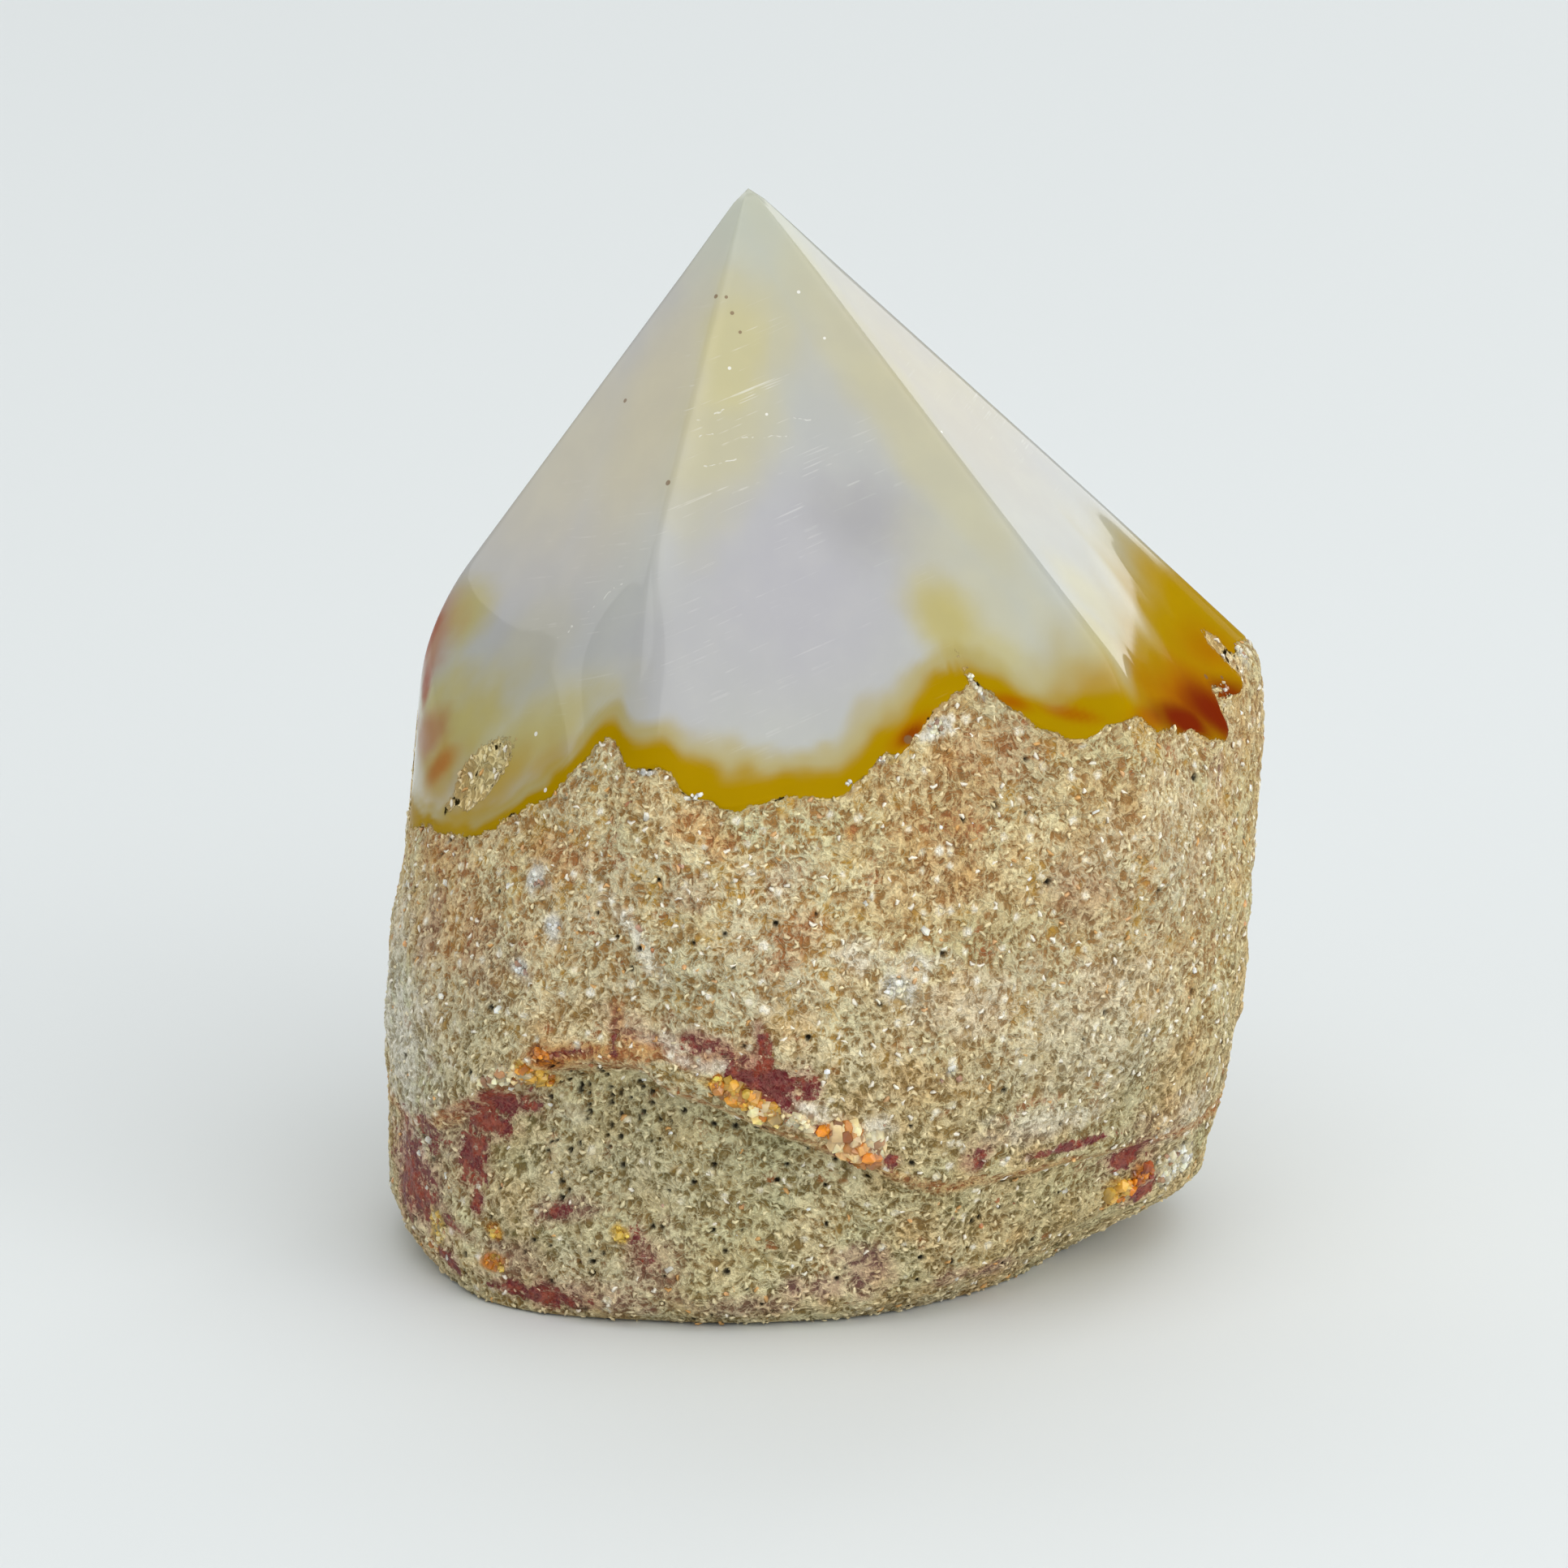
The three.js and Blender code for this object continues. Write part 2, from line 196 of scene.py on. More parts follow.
# ground shoulder: radius - taper * climb, where the climb levels off exponentially above its level
def groundShoulder(bearing, height):
    everywhere, onRight = stoneForm["shoulderClimb"]
    reach = everywhere + onRight * np.maximum(np.cos(np.radians(bearing)), 0) ** 2
    above = height - stoneForm["shoulderLevel"]
    climb = np.where(above < 0, above, reach * (1 - np.exp(-np.maximum(above, 0) / reach)))
    return shoulderRadius(bearing) - shoulderTaper(bearing) * climb


# polished top: the smaller of facets and shoulder, with a fillet that is crisp on the right
def polishedRadius(bearing, height):
    drop = np.sqrt(np.maximum((peakHeight - height) ** 2 - stoneForm["bluntTip"] ** 2, 0))
    softness = stoneForm["shoulderSoftness"] - stoneForm["shoulderSwing"] * np.cos(np.radians(bearing))
    softness = softness * np.clip(drop / stoneForm["shoulderEase"], stoneForm["leastShare"], 1)
    return softMin(facetRadius(bearing, drop), groundShoulder(bearing, height), softness)


# ledge: a lip (Gaussian in height) over a scoop that fades towards the foot
def ledgeRelief(bearing, height):
    lip, depth = lipHeight(bearing), scoopDepth(bearing)
    under = lip - height
    overlap, ease = stoneForm["scoopOverlap"], stoneForm["scoopEase"]
    turn = smoothStep(-overlap, ease - overlap, under)
    fade = stoneForm["scoopAtFoot"] + (1 - stoneForm["scoopAtFoot"]) * smoothStep(0, lip - ease, height)
    ridge = stoneForm["lipShare"] * np.exp(-(((under + stoneForm["lipRise"]) / stoneForm["lipWidth"]) ** 2))
    return depth * (ridge - turn * fade)


# lumps: the sum of rise * exp(-across^2 - along^2), faded out near the skin line
def lumpRelief(bearing, height):
    fade = smoothStep(0, stoneForm["lumpFade"], broadSkinHeight(bearing) - height)
    total = np.zeros(np.shape(bearing + height))
    for at, level, halfWidth, halfHeight, rise in stoneForm["lumps"]:
        across, along = wrapTurn(bearing - at) / halfWidth, (height - level) / halfHeight
        total += rise * np.exp(-(across**2) - along**2)
    return total * fade


# rough body: a parabola through hip, belly and skin line, tucked in to the foot as
# (1 - (1 - height / toe)^round)^(1 / round)
def bodyRadius(bearing, height):
    hip, belly, top = stoneForm["hipHeight"], stoneForm["bellyHeight"], broadSkinHeight(bearing)
    side = hipRadius(bearing) * (height - belly) * (height - top) / ((hip - belly) * (hip - top))
    side = side + bellyRadius(bearing) * (height - hip) * (height - top) / ((belly - hip) * (belly - top))
    topRadius = polishedRadius(bearing, top)
    side = side + topRadius * (height - hip) * (height - belly) / ((top - hip) * (top - belly))
    rough = side + ledgeRelief(bearing, height) + lumpRelief(bearing, height)
    above, rounding = np.clip(height / toeHeight(bearing), 0, 1), toeRoundness(bearing)
    tuck = (1 - (1 - above) ** rounding) ** (1 / rounding)
    return footRadius(bearing) + (rough - footRadius(bearing)) * tuck


# polish above the skin line, skin below it, the two flush on the line
def stoneRadius(bearing, height):
    line = skinLineHeight(bearing)
    gap = polishedRadius(bearing, line) - bodyRadius(bearing, line)
    skin = bodyRadius(bearing, height) + gap * np.exp(np.minimum(height - line, 0) / stoneForm["blendHeight"])
    return np.where(height >= line, polishedRadius(bearing, height), skin)


# a point at a bearing and height, out from the leaning axis by the radius
def stonePoint(bearing, height, radius):
    angle = np.radians(bearing)
    return np.stack([lean * height + radius * np.cos(angle), radius * np.sin(angle), height + 0 * radius], -1)


# Noise and patches

noiseForm = {
    "seed": 7,
    "side": 64,                # cells of the lattice each way, after which it repeats
    "octaveShift": 17.3,       # how far each octave is moved from the one before
    "octaveSum": 1.4,          # about the sum of the octaves' heights
    "spotWander": 0.3,         # how far a spot moves, as a share of its cell
    "spotSpread": 0.4,         # how much the spots differ in size
    "spotRim": (1.2, 0.7),     # a spot fades out between these shares of its radius
    "chanceShift": 31,
}
noiseTable = np.random.default_rng(noiseForm["seed"]).uniform(-1, 1, (noiseForm["side"],) * 3)


# value noise: a random value at each corner of a cubic lattice, eased between the corners
def latticeNoise(points, size, shift=0.0):
    scaled = points / size + shift
    cell = np.floor(scaled).astype(int)
    part = scaled - cell
    part = part * part * (3 - 2 * part)
    total = np.zeros(points.shape[:-1])
    for corner in np.ndindex(2, 2, 2):
        weight = np.prod(np.where(corner, part, 1 - part), axis=-1)
        x, y, z = np.moveaxis((cell + corner) % noiseForm["side"], -1, 0)
        total += weight * noiseTable[x, y, z]
    return total


# the sum of octaves, each half the size and half the height of the one before, from about -1 to 1
def cloudNoise(points, size, octaves=3, shift=0.0):
    step = noiseForm["octaveShift"]
    total = sum(latticeNoise(points, size / 2**k, shift + step * k) / 2**k for k in range(octaves))
    return total / noiseForm["octaveSum"]


# round spots: one place, moved at random, in each cell of a cubic lattice, and a share of the cells have a
# spot there, 1 inside its radius and fading out over its rim
def scatteredSpots(points, size, share, radius, shift):
    form, side = noiseForm, noiseForm["side"]
    scaled = points / size + shift
    cell = np.floor(scaled - 0.5).astype(int)
    total = np.zeros(points.shape[:-1])
    for step in np.ndindex(2, 2, 2):
        x, y, z = np.moveaxis((cell + step) % side, -1, 0)
        moved = np.stack([noiseTable[x, y, z], noiseTable[y, z, x], noiseTable[z, x, y]], -1)
        gap = np.linalg.norm(scaled - (cell + step + 0.5 + form["spotWander"] * moved), axis=-1) * size
        chance = noiseTable[(x + form["chanceShift"]) % side, y, z]
        spot = smoothStep(*form["spotRim"], gap / (radius * (1 + form["spotSpread"] * moved[..., 0])))
        total = np.maximum(total, spot * (chance > 1 - 2 * share))
    return total


# how far out a place lies from the middle of an oval (bearing, height, half across, half up, turn): the root
# of along^2 + aside^2, which is 1 on the oval's outline
def ovalReach(bearing, height, radius, oval):
    at, level, halfAcross, halfUp, turn = oval
    across, up, tilt = np.radians(wrapTurn(bearing - at)) * radius, height - level, radians(turn)
    along = (across * cos(tilt) + up * sin(tilt)) / halfAcross
    aside = (up * cos(tilt) - across * sin(tilt)) / halfUp
    return np.sqrt(along**2 + aside**2)


# strongest of a list of patches, ovals with a strength, all in mm and degrees, with edges that noise makes
# ragged: smoothStep(-soft, soft, 1 - reach + noise)
def patchMask(patches, place, ragged=0.35, soft=0.35, size=1.2, shift=0.0):
    bearing, height, radius, point = place
    wander = ragged * cloudNoise(point, size, 3, shift)
    total = np.zeros(np.shape(bearing))
    for *oval, strength in patches:
        inside = 1 - ovalReach(bearing, height, radius, oval) + wander
        total = np.maximum(total, strength * smoothStep(-soft, soft, inside))
    return total


# Skin: where it is, and its relief

skinForm = {
    # rough islands and tongues above the line: bearing, height, half across, half up, turn
    "islands": [
        (-151.6, 37.0, 3.5, 1.75, 46), (-157.6, 34.4, 1.1, 0.5, 40), (179, 33.6, 1.0, 4.4, 4),
        (-51.1, 44.7, 0.22, 1.0, 8), (-4.5, 40.6, 0.45, 0.3, 0), (3.5, 41.9, 0.8, 1.6, 0),
        (150, 37.2, 1.6, 0.8, -30), (38, 41.6, 1.2, 0.5, 20), (76, 41.9, 2.2, 0.7, -15),
    ],
    "raggedness": 0.42,                             # how far the edge of the skin wanders, in mm
    "wander": [(1.3, 5.1, 1), (0.55, 9.7, 0.6)],    # size, shift and share of the noise that moves it
    "islandWander": 0.5,                            # the islands' edges wander less
    "drop": 0.22,                                   # the skin lies this much below the polish
    "relief": [(3.2, 0.26), (1.5, 0.15), (0.75, 0.09)],    # size and height of its bumps
    "reliefShift": 3.3,
    "edgeFade": (0.05, -0.6),                       # the relief sets in between these distances from the edge
    "footFade": 0.8,                                # and over this height from the foot
}


# how far the edge of the skin wanders: the raggedness times the sum of its noises
def edgeWander(point, noises):
    total = sum(share * latticeNoise(point, size, shift) for size, shift, share in noises)
    return skinForm["raggedness"] * total


# distance above the edge of the skin, below 0 on the skin: height over the ragged line, or the distance out
# of the nearest island
def aboveSkin(bearing, height, radius, point):
    wander = edgeWander(point, skinForm["wander"])
    above = height - skinLineHeight(bearing) + wander
    for oval in skinForm["islands"]:
        outside = (ovalReach(bearing, height, radius, oval) - 1) * min(oval[2:4])
        above = np.minimum(above, outside + skinForm["islandWander"] * wander)
    return above


# the stone's surface with the relief of its skin: noise of a few sizes, faded in from the edge
def surface(bearing, height):
    form, radius = skinForm, stoneRadius(bearing, height)
    point = stonePoint(bearing, height, radius)
    above = aboveSkin(bearing, height, radius, point)
    rough = sum(rise * latticeNoise(point, size, form["reliefShift"] * size) for size, rise in form["relief"])
    fade = smoothStep(*form["edgeFade"], above) * smoothStep(0, form["footFade"], height)
    radius = radius + fade * (rough - form["drop"])
    return stonePoint(bearing, height, radius), radius, above


# Colours, as the sRGB numbers a colour picker shows

def tint(red, green, blue):
    value = np.array([red, green, blue]) / 255
    return np.where(value <= 0.04045, value / 12.92, ((value + 0.055) / 1.055) ** 2.4)


# one colour laid over another by a mask
def overlay(colour, mask, other):
    mask = np.clip(mask, 0, 1)[..., None]
    return colour * (1 - mask) + np.asarray(other) * mask


# lists of patches laid over a colour: the list, its tint, and its raggedness, softness and noise size
def overlayPatches(colour, look, layers, place):
    for patches, shade, *edge in layers:
        colour = overlay(colour, patchMask(look[patches], place, *edge), look[shade])
    return colour


# masks laid over a colour: the mask, its strength and its tint
def overlayMasks(colour, look, layers, masks):
    for mask, strength, shade in layers:
        colour = overlay(colour, strength * masks[mask], look[shade])
    return colour


polishLook = {
    "depth": 0.85,      # how much darker the polished stone is than the tints below
    "milk": tint(188, 190, 178), "lavender": tint(184, 182, 186), "crown": tint(192, 196, 176),
    "warm": tint(200, 190, 158), "smoke": tint(168, 166, 166), "haze": tint(200, 192, 146),
    "yellow": tint(188, 174, 98), "olive": tint(178, 160, 84), "mustard": tint(175, 138, 0),
    "bronze": tint(182, 148, 48), "brown": tint(168, 92, 0), "rust": tint(124, 36, 2),
    "orange": tint(178, 108, 48), "pink": tint(168, 84, 60),
    "lavenderClouds": (0.4, 0.5, 14, 2.2),    # share, swing, size and shift
    # lists of patches laid over the milk, and over the stain: list, tint, raggedness, softness, noise size
    "milkLayers": [
        ("crowns", "crown", 0.3, 0.8, 6), ("lavenders", "lavender", 0.3, 0.9, 6),
        ("warms", "warm", 0.3, 0.9, 6), ("smokes", "smoke", 0.3, 0.9, 3),
        ("hazes", "haze", 0.4, 0.7, 3), ("yellows", "yellow", 0.4, 0.7, 2.5),
    ],
    "stainLayers": [
        ("clears", "haze", 0.3, 0.8, 3), ("bronzes", "bronze", 0.3, 0.7, 2.5),
        ("oranges", "orange", 0.3, 0.6, 2), ("pinks", "pink", 0.3, 0.5, 1.5),
        ("browns", "brown", 0.3, 0.8, 4), ("rusts", "rust", 0.3, 0.6, 4),
    ],
    "stainEdge": (0.25, 2.6, 4.4),            # how far the stain's edge wanders, noise size and shift
    "calmWithin": (60, 30),                   # where the stain is wide, within these bearings of the right,
    "calmEdge": (0.17, 4),                    # its edge wanders less by this, and its noise is larger by this
    "oliveRim": 0.9,                          # mm of olive beyond the mustard stain
    "oliveShare": 0.8, "oliveFade": (1.5, 0.7), "mustardFade": (1.2, 0.6),
    # painted light: the upper left facets are made lighter
    "leftFacet": {"bearing": -160, "within": (50, 38), "heights": (42, 56), "lighter": 0.10},
    # the polish shines fully where its colour is clean, by saturation, and above the edge of a bright streak
    "shine": {
        "clean": (0.95, 0.55), "least": 0.03,
        "streakBearing": -4, "streakWithin": (42, 36), "streakFade": (-0.5, 0.3),
    },
    "streakEdge": [(-40, 44.0), (-30, 44.4), (-19, 45.8), (-8, 47.0), (0, 48.8), (7, 50.6), (180, 52)],
    # how far the mustard stain reaches above the skin: bearing, mm
    "stainDepth": [
        (-180, 2.4), (-165, 0.9), (-155, 0.8), (-146, 0.8), (-135, 1.1), (-128, 1.5), (-122, 1.3),
        (-115, 1.5), (-107, 2.4), (-100, 2.5), (-92, 1.6), (-85, 1.6), (-80, 2.0), (-74, 2.4), (-68, 2.4),
        (-60, 1.8), (-52, 1.7), (-45, 2.3), (-40, 3.0), (-35, 4.2), (-28, 5.4), (-20, 7.0), (-10, 9.0),
        (0, 9.0), (10, 6.4), (30, 3.2), (55, 3.8), (80, 2.2), (105, 3.4), (130, 2.0), (155, 3.6),
    ],
    "crowns": [(-90, 75, 9, 6, 0, 0.8), (90, 75, 9, 6, 0, 0.8)],
    "warms": [
        (-140, 61, 5, 8, 0, 0.8), (-170, 57, 5, 7, 0, 0.6), (-15, 62, 5, 7, 0, 0.5), (60, 55, 8, 6, 0, 0.6),
    ],
    "lavenders": [
        (-158, 51, 7, 5, 0, 0.8), (-80, 50, 9, 6, 0, 0.7), (-112, 47, 5, 5, 0, 0.5),
        (90, 50, 10, 5, 0, 0.7),
    ],
    "smokes": [(-60, 55, 3.2, 2.4, 0, 0.8), (-150, 46, 6, 3, 20, 0.4), (120, 54, 3, 3, 0, 0.6)],
    "hazes": [
        (-106, 65.5, 2.2, 4.6, 0, 0.95), (-107, 60, 3.2, 5.0, -8, 0.6), (-85, 66.5, 2.2, 2.6, 0, 0.5),
        (-37, 60, 1.7, 13, 0, 0.55), (-44, 50, 2.5, 5, 0, 0.4), (30, 58, 6, 8, 0, 0.5),
        (120, 60, 6, 7, 0, 0.6), (-140, 41.5, 6, 2.0, 30, 0.6), (-150, 46, 3, 3, 20, 0.3),
    ],
    "yellows": [
        (-51.5, 48.6, 1.9, 2.2, 0, 0.85), (-46, 46.6, 2.4, 1.3, -25, 0.6), (-172, 46.0, 2.2, 2.0, 0, 0.8),
        (-166, 38.6, 7.0, 3.6, 25, 0.9), (-142, 39.4, 7.0, 2.4, 26, 0.75), (100, 47, 3, 2, 20, 0.7),
    ],
    "bronzes": [
        (-150, 36.0, 6.0, 1.8, 34, 0.8), (-136, 39.0, 3.4, 1.0, 30, 0.6), (-165, 35.4, 4.0, 2.2, 20, 0.75),
    ],
    "oranges": [
        (-179, 44.0, 2.4, 3.0, 0, 0.7), (-164.5, 36.2, 2.4, 0.9, 38, 0.8), (140, 41, 2.4, 1.6, -20, 0.6),
    ],
    "pinks": [
        (-172, 37.6, 3.0, 1.6, 30, 0.6), (-180, 44, 0.9, 1.8, 0, 0.6), (-176, 40.6, 0.8, 1.6, 10, 0.8),
        (-179, 37.8, 0.9, 0.9, 0, 0.6),
    ],
    "browns": [
        (-12, 41.0, 6.6, 2.2, -14, 0.9), (-29, 41.6, 2.6, 0.8, -14, 0.8), (1, 42.6, 3.0, 1.8, 0, 0.6),
        (-64.5, 42.0, 1.7, 0.5, 30, 0.8), (-47.2, 43.6, 0.9, 0.45, -20, 0.9),
        (-40.2, 42.7, 1.2, 0.4, -15, 0.8), (52, 40.8, 3.6, 1.8, 10, 0.8),
    ],
    # where the polish is covered with fine hairline scratches, and the edge of those patches
    "brushedEdge": (0.5, 0.6, 2.5),
    "brushed": [
        (-104, 61.5, 3.6, 5.6, 0, 1.0), (-84, 58.5, 7.0, 3.4, 0, 0.55), (-95, 50, 9, 7, 0, 0.35),
        (-140, 52, 6, 8, 0, 0.3), (30, 58, 8, 7, 0, 0.5), (110, 58, 7, 8, 0, 0.5),
    ],
    "clears": [(-30.4, 46.8, 1.3, 2.4, -8, 0.75), (-24, 49.5, 2.0, 2.0, 0, 0.6)],
    "rusts": [
        (-19, 40.2, 3.8, 1.2, -20, 1.0), (-9, 39.4, 3.6, 1.9, -22, 1.0), (-3, 39.8, 2.2, 1.5, 0, 0.9),
        (-65, 41.8, 0.9, 0.3, 30, 0.7), (52, 40.2, 2.4, 1.2, 10, 0.9), (108, 39.4, 3.0, 1.0, 12, 0.8),
    ],
}


# colour of the polished stone: milky clouds, then haze and stains laid over them, and painted light on the
# upper left facets
def polishColour(bearing, height, radius, point):
    look, place = polishLook, (bearing, height, radius, point)
    share, swing, size, shift = look["lavenderClouds"]
    colour = np.broadcast_to(look["milk"], point.shape)
    colour = overlay(colour, share + swing * latticeNoise(point, size, shift), look["lavender"])
    colour = overlayPatches(colour, look, look["milkLayers"], place)
    calm = smoothStep(*look["calmWithin"], np.abs(wrapTurn(bearing)))
    (wander, size, shift), (calmer, larger) = look["stainEdge"], look["calmEdge"]
    edge = cloudNoise(point, size + larger * calm[..., None], 3, shift)
    depth = stainDepth(bearing) * (1 + (wander - calmer * calm) * edge)
    rise = height - skinLineHeight(bearing) + edgeWander(point, skinForm["wander"][:1])
    rim = smoothStep(*look["oliveFade"], (rise - look["oliveRim"]) / depth)
    colour = overlay(colour, look["oliveShare"] * rim, look["olive"])
    colour = overlay(colour, smoothStep(*look["mustardFade"], rise / depth), look["mustard"])
    colour = overlayPatches(colour, look, look["stainLayers"], place)
    # painted light on the upper left facets
    facet = look["leftFacet"]
    lit = smoothStep(*facet["within"], np.abs(wrapTurn(bearing - facet["bearing"])))
    lit = lit * smoothStep(*facet["heights"], height)
    return colour * (look["depth"] + facet["lighter"] * lit[..., None])


# how strongly the polish shines: fully where it is clear, little where the stain is deep, and fully again
# above the lower edge of the bright streak at the right
def polishShine(bearing, height, colour):
    look, most, least = polishLook["shine"], colour.max(-1), colour.min(-1)
    clean = smoothStep(*look["clean"], (most - least) / most)
    near = smoothStep(*look["streakWithin"], np.abs(wrapTurn(bearing - look["streakBearing"])))
    streak = smoothStep(*look["streakFade"], height - streakEdge(bearing)) * near
    return np.maximum(look["least"] + (1 - look["least"]) * clean, streak)


stainDepth = curveRound(polishLook["stainDepth"])
streakEdge = curveRound(polishLook["streakEdge"])


